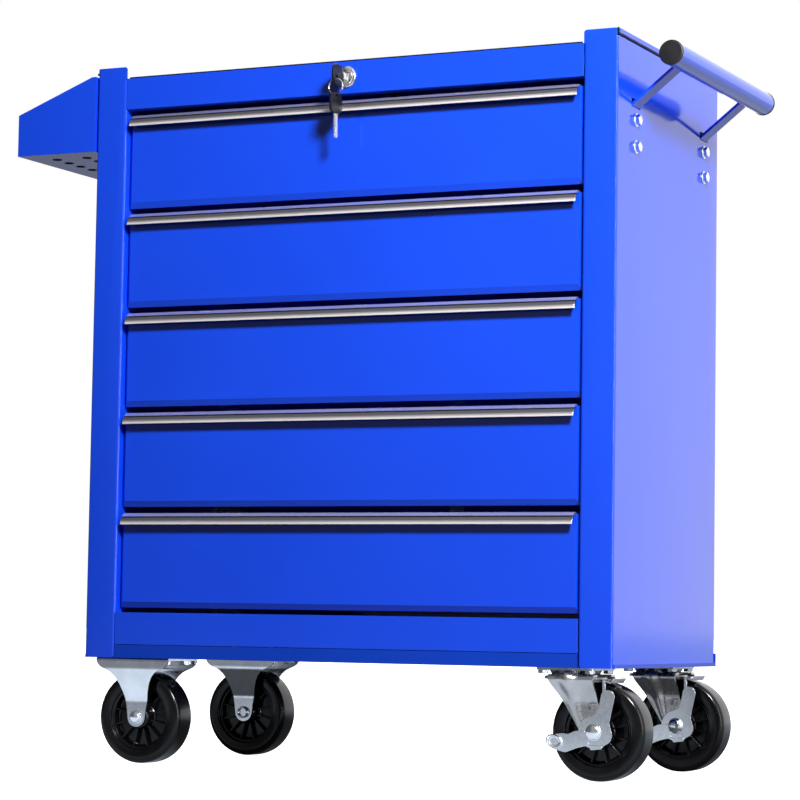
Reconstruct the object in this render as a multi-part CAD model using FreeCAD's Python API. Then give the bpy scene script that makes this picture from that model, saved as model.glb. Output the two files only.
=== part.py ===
"""Rolling tool cabinet: five drawers on ball slides, a side tray, a push handle and four casters.

Millimetres. The cabinet is drawn with X to the right, Y to the back and Z up from the floor.
X = 0 is the middle of the cabinet and Y = 0 is the face of its front posts. Every piece is moved
by one offset when it is written, so that the origin is the bottom centre of the whole object.
"""
import FreeCAD, Part
import math
import os

os.makedirs("parts", exist_ok=True)
V = FreeCAD.Vector

# ---------------------------------------------------------------- driving dimensions
body_width = 615.0
body_depth = 315.0
body_height = 650.0
caster_height = 114.0
sheet = 1.2
hem_height = 4.7

post_width = 37.0
post_return = 30.0
post_turn = 20.0
rear_flange = 18.0
corner_radius = 3.0
fold_radius = 3.0
corner_gap = 0.3
top_rail_bottom = 602.3
top_rail_top = 636.9
pan_flange = 14.2
pan_lip = 4.0
seam = 0.5
bottom_rail_top = 49.3
top_rail_fold = 14.0
bottom_rail_fold = 10.0
upright_front = 278.0
upright_back = 300.0
upright_bottom = 12.0

drawer_count = 5
drawer_pitch = 109.55
drawer_height = 102.5
drawer_travel = 205.0
front_recess = 5.75
front_half = 268.5
front_depth = 7.5
side_bevel = 3.5
bottom_bevel = 6.5
box_half = 257.0
box_wall = 1.0
box_back = 292.0
box_side_height = 76.0
box_lift = 8.0
pull_half = 264.2
box_hem = 4.0
box_hem_height = 5.0
catch_tab_half = 20.0
catch_tab_end = 300.2
catch_slot_half = 8.0
catch_slot_y = (293.4, 298.8)

slide_start = 14.0
slide_length = 280.0
rail_half_height = 17.5
runner_half_height = 11.8
rail_flange = 10.0
runner_flange = 9.5
slide_level = 45.0
cage_length = 64.0
cage_inner = 262.0
cage_outer = 268.1
cage_web = 0.8
cage_strip_half = 0.3
ball_x = 264.4
ball_radius = 1.9
ball_count = 6

tube_radius = 12.5
tube_wall = 1.5
tube_x = 361.5
tube_z = 622.0
tube_front = 8.0
tube_back = 313.0
cap_thickness = 3.0
bolt_rows_y = (54.0, 266.5)
handle_bolts_z = (535.5, 563.5)
washer_radius = 7.0
washer_thickness = 1.4
m6_radius = 3.0
m6_across = 10.0
m6_head = 4.4
m6_nut = 5.0
m6_hole = 3.3
m8_radius = 4.0
m8_across = 13.0
bolt_tail = 8.0
hole_room = 0.3
strap_width = 20.0
strap_thickness = 3.0
slot_level = 577.0
slot_room = 2.8
slot_below = 1.2
slot_above = 8.0
strap_foot = 525.0

tray_inner = 311.0
tray_outer = 410.0
tray_front = -1.0
tray_back = 311.0
tray_bottom = 557.5
tray_lip = 604.0
tray_wall_top = 641.5
tray_bolts_z = (575.0, 625.0)
tool_hole_radius = 5.5
tool_hole_pitch = 25.0
tool_hole_count = 11
tool_hole_middle = 157.5
tool_rows_x = (340.0, 379.0)

wheel_radius = 50.0
wheel_half = 16.0
axle_drop = 64.0
axle_radius = 5.0
fork_inner = 18.5
fork_sheet = 2.5
caster_rows_y = (35.0, 280.0)
fixed_x = -249.0
swivel_x = 255.0
swivel_trail = 30.0
plate_half_x = 45.0
plate_half_y = 33.0
crown_drop = 8.0
swivel_plate_half = 32.0
fixed_bolt_half = (36.0, 22.0)
swivel_bolt_half = (25.5, 25.5)
fixed_tip = 10.5
swivel_tip = 13.0

lock_z = 619.8
lock_bar_drop = 8.0
key_plane = 1.5
eye_radius = 2.6
ring_radius = 8.6
ring_wire = 0.75
ring_hang = 1.5

# ---------------------------------------------------------------- worked out from them
half_width = body_width / 2
base_z = caster_height
body_top = base_z + body_height
opening_half = half_width - post_width
inner_half = half_width - sheet
tray_floor_top = base_z + top_rail_top
tray_floor_bottom = tray_floor_top - sheet
hem_outer = half_width + sheet
hem_back = body_depth + sheet
axle_z = base_z - axle_drop
fork_outer = fork_inner + fork_sheet
lock_axis_z = base_z + lock_z
key_tip_y = -33.0
eye_y = -25.0
eye_z = lock_axis_z - 4.7
cap_radius = tube_radius + 0.5

# the whole object's box, whose bottom centre is the origin of the written pieces
x_low = -tray_outer
x_high = tube_x + cap_radius
y_low = key_tip_y
y_high = hem_back
offset = V(-(x_low + x_high) / 2, -(y_low + y_high) / 2, 0)


# ---------------------------------------------------------------- helpers
def box(x0, x1, y0, y1, z0, z1):
    """Axis-aligned block between two opposite corners."""
    return Part.makeBox(x1 - x0, y1 - y0, z1 - z0, V(x0, y0, z0))


def rod(x, y, z, axis, radius, length):
    """Cylinder that starts at a point and runs along a direction."""
    return Part.makeCylinder(radius, length, V(x, y, z), V(*axis))


def prism(points, run):
    """Flat polygon pushed along a vector."""
    wire = Part.makePolygon(points + [points[0]])
    return Part.Face(wire).extrude(run)


def prism_x(points, x0, x1):
    """Outline in Y and Z, pushed along X."""
    return prism([V(x0, y, z) for y, z in points], V(x1 - x0, 0, 0))


def prism_y(points, y0, y1):
    """Outline in X and Z, pushed along Y."""
    return prism([V(x, y0, z) for x, z in points], V(0, y1 - y0, 0))


def prism_z(points, z0, z1):
    """Outline in X and Y, pushed along Z."""
    return prism([V(x, y, z0) for x, y in points], V(0, 0, z1 - z0))


def hexagon(x, y, z, axis, across, height):
    """Hexagonal bolt head or nut that starts at a point and runs along X, Y or Z."""
    corner = across / math.sqrt(3)
    turns = [math.radians(60 * i) for i in range(6)]
    rim = [(corner * math.cos(a), corner * math.sin(a)) for a in turns]
    if axis[0]:
        points = [V(x, y + u, z + v) for u, v in rim]
    elif axis[1]:
        points = [V(x + u, y, z + v) for u, v in rim]
    else:
        points = [V(x + u, y + v, z) for u, v in rim]
    return prism(points, V(*axis) * height)


def rounded_path(points, radii):
    """Edges along open points in a flat plan, with an arc of its own radius at each inner corner."""
    edges = []
    start = V(points[0][0], points[0][1], 0)
    for before, corner, after, radius in zip(points, points[1:], points[2:], radii):
        middle = V(corner[0], corner[1], 0)
        arrive = (V(before[0], before[1], 0) - middle).normalize()
        leave = (V(after[0], after[1], 0) - middle).normalize()
        half_angle = arrive.getAngle(leave) / 2
        inset = radius / math.tan(half_angle)
        inward = (arrive + leave).normalize()
        centre = middle + inward * (radius / math.sin(half_angle))
        first = middle + arrive * inset
        last = middle + leave * inset
        edges.append(Part.LineSegment(start, first).toShape())
        edges.append(Part.Arc(first, centre - inward * radius, last).toShape())
        start = last
    edges.append(Part.LineSegment(start, V(points[-1][0], points[-1][1], 0)).toShape())
    return edges


def folded_sheet(outer, inner, radii, z0, z1):
    """Sheet folded about vertical bends: its outer face, its inner face and the bends' outer radii."""
    inner_radii = [radius - sheet for radius in radii]
    ends = [Part.LineSegment(V(*outer[i], 0), V(*inner[i], 0)).toShape() for i in (0, -1)]
    edges = rounded_path(outer, radii) + rounded_path(inner, inner_radii) + ends
    face = Part.Face(Part.Wire(Part.__sortEdges__(edges)))
    face.translate(V(0, 0, z0))
    return face.extrude(V(0, 0, z1 - z0))


def fuse(shapes):
    """One solid from pieces that touch or overlap."""
    return shapes[0].multiFuse(shapes[1:]).removeSplitter()


def cut(shape, tools):
    """A solid with every tool taken out of it."""
    return shape.cut(Part.makeCompound(tools))


def mirrored(shape):
    """The same piece on the other side of the cabinet."""
    return shape.mirror(V(0, 0, 0), V(1, 0, 0))


def write(node, shapes):
    """Write one node: a single solid, or a group of separate ones."""
    group = shapes if isinstance(shapes, list) else [shapes]
    solids = [solid for shape in group for solid in shape.Solids]
    shape = solids[0] if len(solids) == 1 else Part.makeCompound(solids)
    shape = shape.copy()
    shape.translate(offset)
    shape.exportStep("parts/" + node + ".step")


def drawer_bottom(number):
    """Height of a drawer front's bottom edge; drawer 1 is the top one."""
    return base_z + top_rail_bottom - number * drawer_pitch


# ---------------------------------------------------------------- cabinet shell
def side_panel():
    """Right side wall with its folded front post and rear flange, round at the bends."""
    wall_bottom = base_z + sheet
    wall_top = body_top - sheet
    flange_x = half_width - rear_flange
    inner_back = body_depth - sheet
    outer_wall = [(half_width, 0), (half_width, body_depth), (flange_x, body_depth)]
    inner_wall = [(inner_half, sheet), (inner_half, inner_back), (flange_x, inner_back)]
    turn_x = opening_half + post_turn
    outer_post = [(turn_x, post_return), (opening_half, post_return), (opening_half, 0)]
    inner_post = [(turn_x, post_return - sheet), (opening_half + sheet, post_return - sheet),
                  (opening_half + sheet, sheet)]
    lower = folded_sheet(outer_post + outer_wall, inner_post + inner_wall,
                         [fold_radius, fold_radius, corner_radius, corner_radius],
                         wall_bottom, tray_floor_bottom)
    upper = folded_sheet([(opening_half, 0)] + outer_wall, [(opening_half, sheet)] + inner_wall,
                         [corner_radius, corner_radius], tray_floor_bottom, wall_top)
    foot_x = opening_half + fold_radius
    foot = folded_sheet([(foot_x, 0), (half_width, 0), (half_width, corner_radius + 0.1)],
                        [(foot_x, sheet), (inner_half, sheet), (inner_half, corner_radius + 0.1)],
                        [corner_radius], base_z, wall_bottom)
    head = folded_sheet([(opening_half, 0), (half_width, 0), (half_width, corner_radius + 0.1)],
                        [(opening_half, sheet), (inner_half, sheet), (inner_half, corner_radius + 0.1)],
                        [corner_radius], wall_top, body_top)
    post_corner = box(opening_half - 1, opening_half + corner_radius, -1, sheet + 0.1,
                      body_top - corner_radius, body_top + 1)
    rounding = rod(opening_half + corner_radius, -2, body_top - corner_radius, (0, 1, 0), corner_radius, 5)
    return fuse([lower, upper, foot, head]).cut(post_corner.cut(rounding))


def make_side_panels():
    """Both side panels: bolt holes on each side and the handle's strap slots on the right."""
    hole_start = inner_half - 2
    handle_cuts = []
    for y in bolt_rows_y:
        for z in handle_bolts_z:
            handle_cuts.append(rod(hole_start, y, base_z + z, (1, 0, 0), m6_hole, 6))
        half_slot = strap_width / 2 + slot_room
        handle_cuts.append(box(hole_start, half_width + 2, y - half_slot, y + half_slot,
                               base_z + slot_level - slot_below, base_z + slot_level + slot_above))
    write("right_side_panel", cut(side_panel(), handle_cuts))
    tray_cuts = [rod(hole_start, y, base_z + z, (1, 0, 0), m6_hole, 6)
                 for y in bolt_rows_y for z in tray_bolts_z]
    write("left_side_panel", mirrored(cut(side_panel(), tray_cuts)))


def make_back_panel():
    """Flat back sheet, behind the tray's rear wall and in front of the side sheets' flanges."""
    back_y = body_depth - sheet
    write("back_panel", box(-inner_half + 2, inner_half - 2, back_y - sheet, back_y,
                            base_z + sheet, body_top - sheet))


def make_top_tray():
    """Recessed top with a rim that hooks over the side and back sheets."""
    front = sheet
    hook_front = corner_radius + corner_gap
    wall_back = body_depth - 2 * sheet
    narrow = inner_half - corner_radius
    wall_front = front + corner_radius
    wall_end = wall_back - corner_gap - sheet
    pieces = [box(-narrow, narrow, front, wall_back, tray_floor_bottom, tray_floor_top)]
    pieces.append(box(-inner_half, inner_half, wall_front, wall_end, tray_floor_bottom, tray_floor_top))
    pieces.append(box(-narrow, narrow, wall_back - sheet, wall_back, tray_floor_bottom, body_top))
    pieces.append(box(-hem_outer, hem_outer, wall_back - sheet, hem_back, body_top - sheet, body_top))
    pieces.append(box(-hem_outer, hem_outer, body_depth, hem_back, body_top - 8, body_top))
    pieces.append(box(-opening_half + 2, opening_half - 2, front, front + sheet,
                      tray_floor_bottom - 4, tray_floor_bottom))
    for side in (-1, 1):
        wall = sorted([side * (inner_half - sheet), side * inner_half])
        hook = sorted([side * (inner_half - sheet), side * hem_outer])
        lip = sorted([side * half_width, side * hem_outer])
        link = sorted([side * narrow, side * inner_half])
        pieces.append(box(wall[0], wall[1], wall_front, wall_end, tray_floor_bottom, body_top))
        pieces.append(box(link[0], link[1], wall_end - sheet, wall_end, tray_floor_bottom, body_top))
        pieces.append(box(narrow * side - 1, narrow * side + 1, wall_end - sheet, wall_back,
                          tray_floor_bottom, body_top))
        pieces.append(box(hook[0], hook[1], hook_front, hem_back, body_top - sheet, body_top))
        pieces.append(box(lip[0], lip[1], hook_front, hem_back, body_top - hem_height, body_top))
    write("top_tray", fuse(pieces))


def caster_centres():
    """Centre of each caster's top plate: fixed on the left, swivel on the right."""
    return [(x, y) for x in (fixed_x, swivel_x) for y in caster_rows_y]


def caster_bolt_points(x, y):
    """The four bolt positions in one caster plate."""
    half_x, half_y = fixed_bolt_half if x == fixed_x else swivel_bolt_half
    return [(x + i * half_x, y + j * half_y) for i in (-1, 1) for j in (-1, 1)]


def caster_bolt_radius(x):
    """M8 bolts hold the fixed casters and M6 bolts the smaller swivel plates."""
    return m8_radius if x == fixed_x else m6_radius


def make_bottom_pan():
    """Floor of the cabinet with a hem round the side sheets and a flange in front."""
    corner_x = half_width - corner_radius - corner_gap
    corner_y = corner_radius + corner_gap
    pieces = [box(-corner_x, corner_x, sheet, hem_back, base_z, base_z + sheet)]
    flange_half = opening_half - seam
    pieces.append(box(-flange_half, flange_half, 0, sheet, base_z, base_z + pan_flange))
    pieces.append(box(-hem_outer, hem_outer, body_depth, hem_back, base_z, base_z + pan_flange))
    for side in (-1, 1):
        lip = sorted([side * half_width, side * hem_outer])
        edge = sorted([side * corner_x, side * hem_outer])
        pieces.append(box(edge[0], edge[1], corner_y, hem_back, base_z, base_z + sheet))
        pieces.append(box(lip[0], lip[1], corner_y, hem_back, base_z, base_z + pan_lip))
    holes = []
    for x, y in caster_centres():
        for bolt_x, bolt_y in caster_bolt_points(x, y):
            holes.append(rod(bolt_x, bolt_y, base_z - 2, (0, 0, 1), caster_bolt_radius(x) + hole_room, 6))
    write("bottom_pan", cut(fuse(pieces), holes))


def make_front_rails():
    """Top rail that carries the lock, and bottom rail above the pan's flange."""
    rail_bottom = base_z + top_rail_bottom
    top_face = box(-opening_half, opening_half, 0, sheet, rail_bottom, tray_floor_top)
    top_fold = box(-opening_half, opening_half, 0, top_rail_fold, rail_bottom, rail_bottom + sheet)
    lock_hole = rod(0, -1, lock_axis_z, (0, 1, 0), 9.5, 6)
    write("top_front_rail", cut(fuse([top_face, top_fold]), [lock_hole]))
    low_z = base_z + pan_flange + seam
    high_z = base_z + bottom_rail_top
    low_half = opening_half - seam
    low_face = box(-low_half, low_half, 0, sheet, low_z, high_z)
    low_top = box(-low_half, low_half, 0, top_rail_fold, high_z - sheet, high_z)
    low_fold = box(-low_half, low_half, 0, bottom_rail_fold, low_z, low_z + sheet)
    write("bottom_front_rail", fuse([low_face, low_top, low_fold]))


def make_rear_uprights():
    """Channel behind each side of the opening, which carries the back ends of the slides."""
    bottom = base_z + upright_bottom
    face = box(opening_half, opening_half + sheet, upright_front, upright_back, bottom, tray_floor_bottom)
    front = box(opening_half, inner_half, upright_front, upright_front + sheet, bottom, tray_floor_bottom)
    back = box(opening_half, inner_half, upright_back - sheet, upright_back, bottom, tray_floor_bottom)
    upright = fuse([face, front, back])
    write("rear_uprights", [upright, mirrored(upright)])


# ---------------------------------------------------------------- drawers and slides
def slide_rail(level):
    """Outer rail of the right-hand slide, fixed to the posts."""
    end = slide_start + slide_length
    web_x = opening_half - sheet
    web = box(web_x, opening_half, slide_start, end, level - rail_half_height, level + rail_half_height)
    pieces = [web]
    for side in (-1, 1):
        edge = sorted([level + side * rail_half_height, level + side * (rail_half_height - sheet)])
        pieces.append(box(opening_half - rail_flange, opening_half, slide_start, end, edge[0], edge[1]))
    return fuse(pieces)


def runner(level):
    """Inner member of the right-hand slide, fixed to the drawer box."""
    end = box_back - 2
    web = box(box_half, box_half + sheet, slide_start, end,
              level - runner_half_height, level + runner_half_height)
    pieces = [web]
    for side in (-1, 1):
        edge = sorted([level + side * runner_half_height, level + side * (runner_half_height - sheet)])
        pieces.append(box(box_half, box_half + runner_flange, slide_start, end, edge[0], edge[1]))
    return fuse(pieces)


def ball_cage(level):
    """Strip that carries two rows of balls between the rail and the runner."""
    overlap = slide_length - drawer_travel
    start = slide_start + drawer_travel / 2 + (overlap - cage_length) / 2
    end = start + cage_length
    row = (rail_half_height - sheet + runner_half_height) / 2
    web = box(cage_outer - cage_web, cage_outer, start, end, level - row - 0.9, level + row + 0.9)
    pieces = [web]
    step = cage_length / ball_count
    for side in (-1, 1):
        pieces.append(box(cage_inner, cage_outer, start, end,
                          level + side * row - cage_strip_half, level + side * row + cage_strip_half))
        for i in range(ball_count):
            centre = V(ball_x, start + (i + 0.5) * step, level + side * row)
            pieces.append(Part.makeSphere(ball_radius, centre))
    return fuse(pieces)


def make_drawer_box(number):
    """Open steel tray with hemmed sides and a slotted catch tab at the back."""
    low = drawer_bottom(number) + box_lift
    high = low + box_side_height
    front_y = front_recess + sheet
    pieces = [box(-box_half, box_half, front_y, box_back, low, low + box_wall)]
    pieces.append(box(-box_half, box_half, front_y, front_y + box_wall, low, high + 6))
    pieces.append(box(-box_half, box_half, box_back - box_wall, box_back, low, high))
    for side in (-1, 1):
        wall = sorted([side * (box_half - box_wall), side * box_half])
        hem = sorted([side * (box_half - box_hem), side * box_half])
        hem_low = high - box_hem_height
        pieces.append(box(wall[0], wall[1], front_y, box_back, low, high))
        pieces.append(box(hem[0], hem[1], front_y, box_back, high - box_wall, high))
        pieces.append(box(hem[0], hem[1], front_y, box_back, hem_low, hem_low + box_wall))
        rim = sorted([side * (box_half - box_hem), side * (box_half - box_hem + box_wall)])
        pieces.append(box(rim[0], rim[1], front_y, box_back, hem_low, high))
    tab = box(-catch_tab_half, catch_tab_half, box_back - box_wall, catch_tab_end, high - box_wall, high)
    slot = box(-catch_slot_half, catch_slot_half, catch_slot_y[0], catch_slot_y[1], high - 3, high + 3)
    write("drawer_%d_box" % number, cut(fuse(pieces + [tab]), [slot]))


def bevelled_block(half, y0, y1, z0, z1, bevel_x, bevel_z):
    """Block whose front edges slope back at both sides and along the bottom."""
    plan = prism_z([(-half, y1), (-half, y0 + bevel_x), (-half + bevel_x, y0),
                    (half - bevel_x, y0), (half, y0 + bevel_x), (half, y1)], z0, z1)
    profile = prism_x([(y1, z0), (y0 + bevel_z * 0.8, z0), (y0, z0 + bevel_z), (y0, z1), (y1, z1)],
                      -half, half)
    return plan.common(profile)


def make_drawer_front(number):
    """Shallow folded pan with sloping edges that faces the drawer."""
    low = drawer_bottom(number)
    high = low + drawer_height - 1.5
    back = front_recess + front_depth
    outer = bevelled_block(front_half, front_recess, back, low, high, side_bevel, bottom_bevel)
    inner = bevelled_block(front_half - sheet, front_recess + sheet, back + 1,
                           low + sheet, high + 1, side_bevel - 0.5, bottom_bevel - 0.6)
    write("drawer_%d_front" % number, outer.cut(inner))


def make_drawer_pull(number):
    """Extruded trim hooked over the front's top edge, with a lip that flares forward."""
    top = drawer_bottom(number) + drawer_height
    skin = front_recess
    profile = [(3.5, 0), (-1.3, -3.8), (-1.2, -4.5), (-1.8, -4.6), (-3.9, -9.0), (-4.6, -12.5), (-3.1, -12.5),
               (-2.4, -9.3), (0.1, -4.9), (4.1, -1.5), (skin + sheet, -1.5), (skin + sheet, -9.0),
               (skin + 2 * sheet, -9.0), (skin + 2 * sheet, 0)]
    points = [(y, top + z) for y, z in profile]
    write("drawer_%d_pull" % number, prism_x(points, -pull_half, pull_half))


def make_drawers():
    """Five drawers: box, front, pull, runners and ball cages."""
    rails = []
    for number in range(1, drawer_count + 1):
        level = drawer_bottom(number) + slide_level
        make_drawer_box(number)
        make_drawer_front(number)
        make_drawer_pull(number)
        right_runner = runner(level)
        right_cage = ball_cage(level)
        right_rail = slide_rail(level)
        write("drawer_%d_runners" % number, [right_runner, mirrored(right_runner)])
        write("drawer_%d_ball_cages" % number, [right_cage, mirrored(right_cage)])
        rails += [right_rail, mirrored(right_rail)]
    write("slide_rails", rails)


# ---------------------------------------------------------------- push handle and side tray
def make_handle():
    """Round tube, its end caps and the two bent straps that hold it."""
    z = base_z + tube_z
    start = tube_front + cap_thickness
    length = tube_back - tube_front - 2 * cap_thickness
    tube = rod(tube_x, start, z, (0, 1, 0), tube_radius, length)
    bore = rod(tube_x, start - 1, z, (0, 1, 0), tube_radius - tube_wall, length + 2)
    write("handle_tube", tube.cut(bore))
    caps = []
    plug_radius = tube_radius - tube_wall
    for y, way in ((tube_front, 1), (tube_back, -1)):
        disc = rod(tube_x, y, z, (0, way, 0), cap_radius, cap_thickness)
        rim = [edge for edge in disc.Edges if abs(edge.CenterOfMass.y - y) < 0.01]
        plug = rod(tube_x, y + way * cap_thickness, z, (0, way, 0), plug_radius, 12)
        caps.append(fuse([disc.makeFillet(1.5, rim[:1]), plug]))
    write("handle_end_caps", caps)
    straps = []
    for y in bolt_rows_y:
        strap = handle_strap(y)
        holes = [rod(half_width - 10, y, base_z + level, (1, 0, 0), m6_hole, 12) for level in handle_bolts_z]
        straps.append(cut(strap, holes + [rod(tube_x, 0, z, (0, 1, 0), tube_radius, body_depth)]))
    write("handle_brackets", straps)


def handle_strap(y):
    """Flat strap: bolted inside the wall, bent out through a slot and up to the tube."""
    outer_x = inner_half
    centre_x = outer_x - strap_thickness / 2
    reach_x = tube_x - centre_x
    reach_z = tube_z - slot_level
    span = math.hypot(reach_x, reach_z)
    along = (reach_x / span, reach_z / span)
    half = strap_thickness / 2
    rise = along[1] / along[0]
    drop = half / along[0]
    low_z = slot_level + rise * half - drop
    high_z = slot_level - rise * half + drop
    side_x = along[1] * half
    side_z = along[0] * half
    points = [(outer_x - strap_thickness, strap_foot), (outer_x, strap_foot), (outer_x, low_z),
              (tube_x + side_x, tube_z - side_z), (tube_x - side_x, tube_z + side_z),
              (outer_x - strap_thickness, high_z)]
    raised = [(x, base_z + z) for x, z in points]
    return prism_y(raised, y - strap_width / 2, y + strap_width / 2)


def m6_bolt(x, y, z, way, grip):
    """Hex bolt through a wall: head and washer outside, nut inside; way points outwards."""
    washer = rod(x, y, z, (way, 0, 0), washer_radius, washer_thickness)
    head = hexagon(x + way * washer_thickness, y, z, (way, 0, 0), m6_across, m6_head)
    shank = rod(x + way * washer_thickness, y, z, (-way, 0, 0), m6_radius, grip + bolt_tail)
    nut = hexagon(x - way * grip, y, z, (-way, 0, 0), m6_across, m6_nut)
    return fuse([washer, head, shank, nut])


def make_bolts():
    """Hex bolts of the handle on the right and of the side tray on the left."""
    bolts = []
    for y in bolt_rows_y:
        for z in handle_bolts_z:
            bolts.append(m6_bolt(half_width, y, base_z + z, 1, sheet + strap_thickness))
        for z in tray_bolts_z:
            gap = tray_inner - sheet - half_width
            bolt = m6_bolt(-tray_inner, y, base_z + z, -1, 2 * sheet + gap)
            spacer = rod(-half_width, y, base_z + z, (-1, 0, 0), washer_radius, gap)
            bolts.append(fuse([bolt, spacer]))
    write("m6_hex_bolts", bolts)


def make_side_tray():
    """Open sheet tray on the left with sloping ends and tool holes in its floor."""
    bottom = base_z + tray_bottom
    lip = base_z + tray_lip
    high = base_z + tray_wall_top
    end_outline = [(-tray_outer, bottom), (-tray_inner, bottom), (-tray_inner, high),
                   (-tray_inner - 4, high), (-tray_outer, lip)]
    pieces = [box(-tray_outer, -tray_inner + sheet, tray_front, tray_back, bottom, bottom + sheet)]
    pieces.append(box(-tray_outer, -tray_outer + sheet, tray_front, tray_back, bottom, lip))
    pieces.append(box(-tray_outer, -tray_outer + 6, tray_front, tray_back, lip - sheet, lip))
    pieces.append(box(-tray_inner, -tray_inner + sheet, tray_front, tray_back, bottom, high))
    pieces.append(prism_y(end_outline, tray_front, tray_front + sheet))
    pieces.append(prism_y(end_outline, tray_back - sheet, tray_back))
    holes = []
    for x in tool_rows_x:
        for y in tool_hole_rows():
            holes.append(rod(-x, y, bottom - 1, (0, 0, 1), tool_hole_radius, 4))
    for y in bolt_rows_y:
        for z in tray_bolts_z:
            holes.append(rod(-tray_inner - 2, y, base_z + z, (1, 0, 0), m6_hole, 6))
    write("side_tray", cut(fuse(pieces), holes))


def tool_hole_rows():
    """Positions of the tool holes along the tray."""
    first = tool_hole_middle - tool_hole_pitch * (tool_hole_count - 1) / 2
    return [first + i * tool_hole_pitch for i in range(tool_hole_count)]


# ---------------------------------------------------------------- casters
def fork_sheet_profile(y, top_half, bend_low, bend_high, low):
    """Bent strip seen from the side: flat top, sloping shoulders and upright legs."""
    top = base_z
    outer = [(y - top_half, top), (y - top_half, top - bend_high), (y - fork_outer, top - bend_low),
             (y - fork_outer, low)]
    inner = [(y - fork_inner, low), (y - fork_inner, top - bend_low - 0.4),
             (y - top_half + fork_sheet, top - bend_high - 0.4), (y - top_half + fork_sheet, top - fork_sheet)]
    left = outer + inner
    right = [(2 * y - a, b) for a, b in reversed(left)]
    return left + right


def leg_outline(centre_x, axle_x, points, tip):
    """Fork leg outline: the given points above, and a round end about the axle below."""
    left = [(centre_x + x, base_z + z) for x, z in points[0]]
    right = [(centre_x + x, base_z + z) for x, z in points[1]]
    turns = [math.radians(a) for a in range(190, 351, 10)]
    round_end = [(axle_x + tip * math.cos(a), axle_z + tip * math.sin(a)) for a in turns]
    return left + round_end + right[::-1]


def fixed_fork(y):
    """Pressed fork of a fixed caster with its top plate in one sheet."""
    profile = fork_sheet_profile(y, plate_half_y - 0.5, 45, 13, axle_z - 14)
    bent = prism_x(profile, fixed_x - plate_half_x, fixed_x + plate_half_x)
    curve = [(-45, 1), (-45, -2), (-43, -7), (-38, -11), (-29, -14.5), (-23, -20), (-18.5, -28),
             (-15.3, -37), (-13.3, -46)]
    outline = leg_outline(fixed_x, fixed_x, (curve, [(-x, z) for x, z in curve]), fixed_tip)
    shape = bent.common(prism_y(outline, y - 60, y + 60))
    holes = [rod(fixed_x, y - 40, axle_z, (0, 1, 0), axle_radius + 0.1, 80)]
    bolt_hole = m8_radius + hole_room
    holes += [rod(a, b, base_z - 5, (0, 0, 1), bolt_hole, 8) for a, b in caster_bolt_points(fixed_x, y)]
    return cut(shape, holes)


def axle(x, y):
    """Axle bolt with a domed head in front and a nut behind."""
    reach = fork_outer + 2
    pin = rod(x, y - reach, axle_z, (0, 1, 0), axle_radius, 2 * reach + 3)
    dome = Part.makeSphere(9.5, V(x, y - reach + 6, axle_z)).common(
        rod(x, y - reach - 3.5, axle_z, (0, 1, 0), 6.8, 3.5))
    collar_front = rod(x, y - reach, axle_z, (0, 1, 0), 7.6, 2)
    collar_back = rod(x, y + fork_outer, axle_z, (0, 1, 0), 8.6, 2)
    nut = hexagon(x, y + reach, axle_z, (0, 1, 0), 15, 6)
    return fuse([pin, dome, collar_front, collar_back, nut])


def wheel(x, y):
    """Moulded wheel: smooth tread, stepped ring, twelve ribs on each side and a hub."""
    half = [(axle_radius + 0.05, 0), (axle_radius + 0.05, 17.2), (11, 17.2), (13, 14.5), (14.5, 5), (30, 5),
            (32.5, 12.5), (35, 13), (36, 15.2), (44.5, wheel_half)]
    turns = [math.radians(a) for a in range(75, -1, -15)]
    corner = 5.5
    rim = [(wheel_radius - corner + corner * math.cos(a), wheel_half - corner + corner * math.sin(a))
           for a in turns]
    side = half + rim
    outline = side + [(r, -w) for r, w in reversed(side[1:])]
    section = Part.Face(Part.makePolygon([V(r, w, 0) for r, w in outline + [outline[0]]]))
    body = section.revolve(V(0, 0, 0), V(0, 1, 0), 360)
    ribs = []
    for i in range(12):
        rib = box(13.2, 32, -11.5, 11.5, -1, 1)
        rib.rotate(V(0, 0, 0), V(0, 1, 0), 30 * i + 15)
        ribs.append(rib)
    shape = fuse([body] + ribs)
    shape.translate(V(x, y, axle_z))
    return shape


def swivel_plate(y):
    """Top plate of a swivel caster with the upper ball race and the king pin."""
    half = swivel_plate_half
    plate = box(swivel_x - half, swivel_x + half, y - half, y + half, base_z - fork_sheet, base_z)
    upright = [edge for edge in plate.Edges if abs(edge.tangentAt(edge.FirstParameter).z) > 0.9]
    plate = plate.makeFillet(6, upright)
    race = Part.makeCone(24, 27, 5.2, V(swivel_x, y, base_z - crown_drop + 0.3), V(0, 0, 1))
    pin = rod(swivel_x, y, base_z - crown_drop - 5, (0, 0, 1), 6, 8)
    head = rod(swivel_x, y, base_z - crown_drop - 5.4, (0, 0, 1), 9, 2)
    holes = [rod(a, b, base_z - 5, (0, 0, 1), m6_hole, 8) for a, b in caster_bolt_points(swivel_x, y)]
    return cut(fuse([plate, race, pin, head]), holes)


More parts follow.
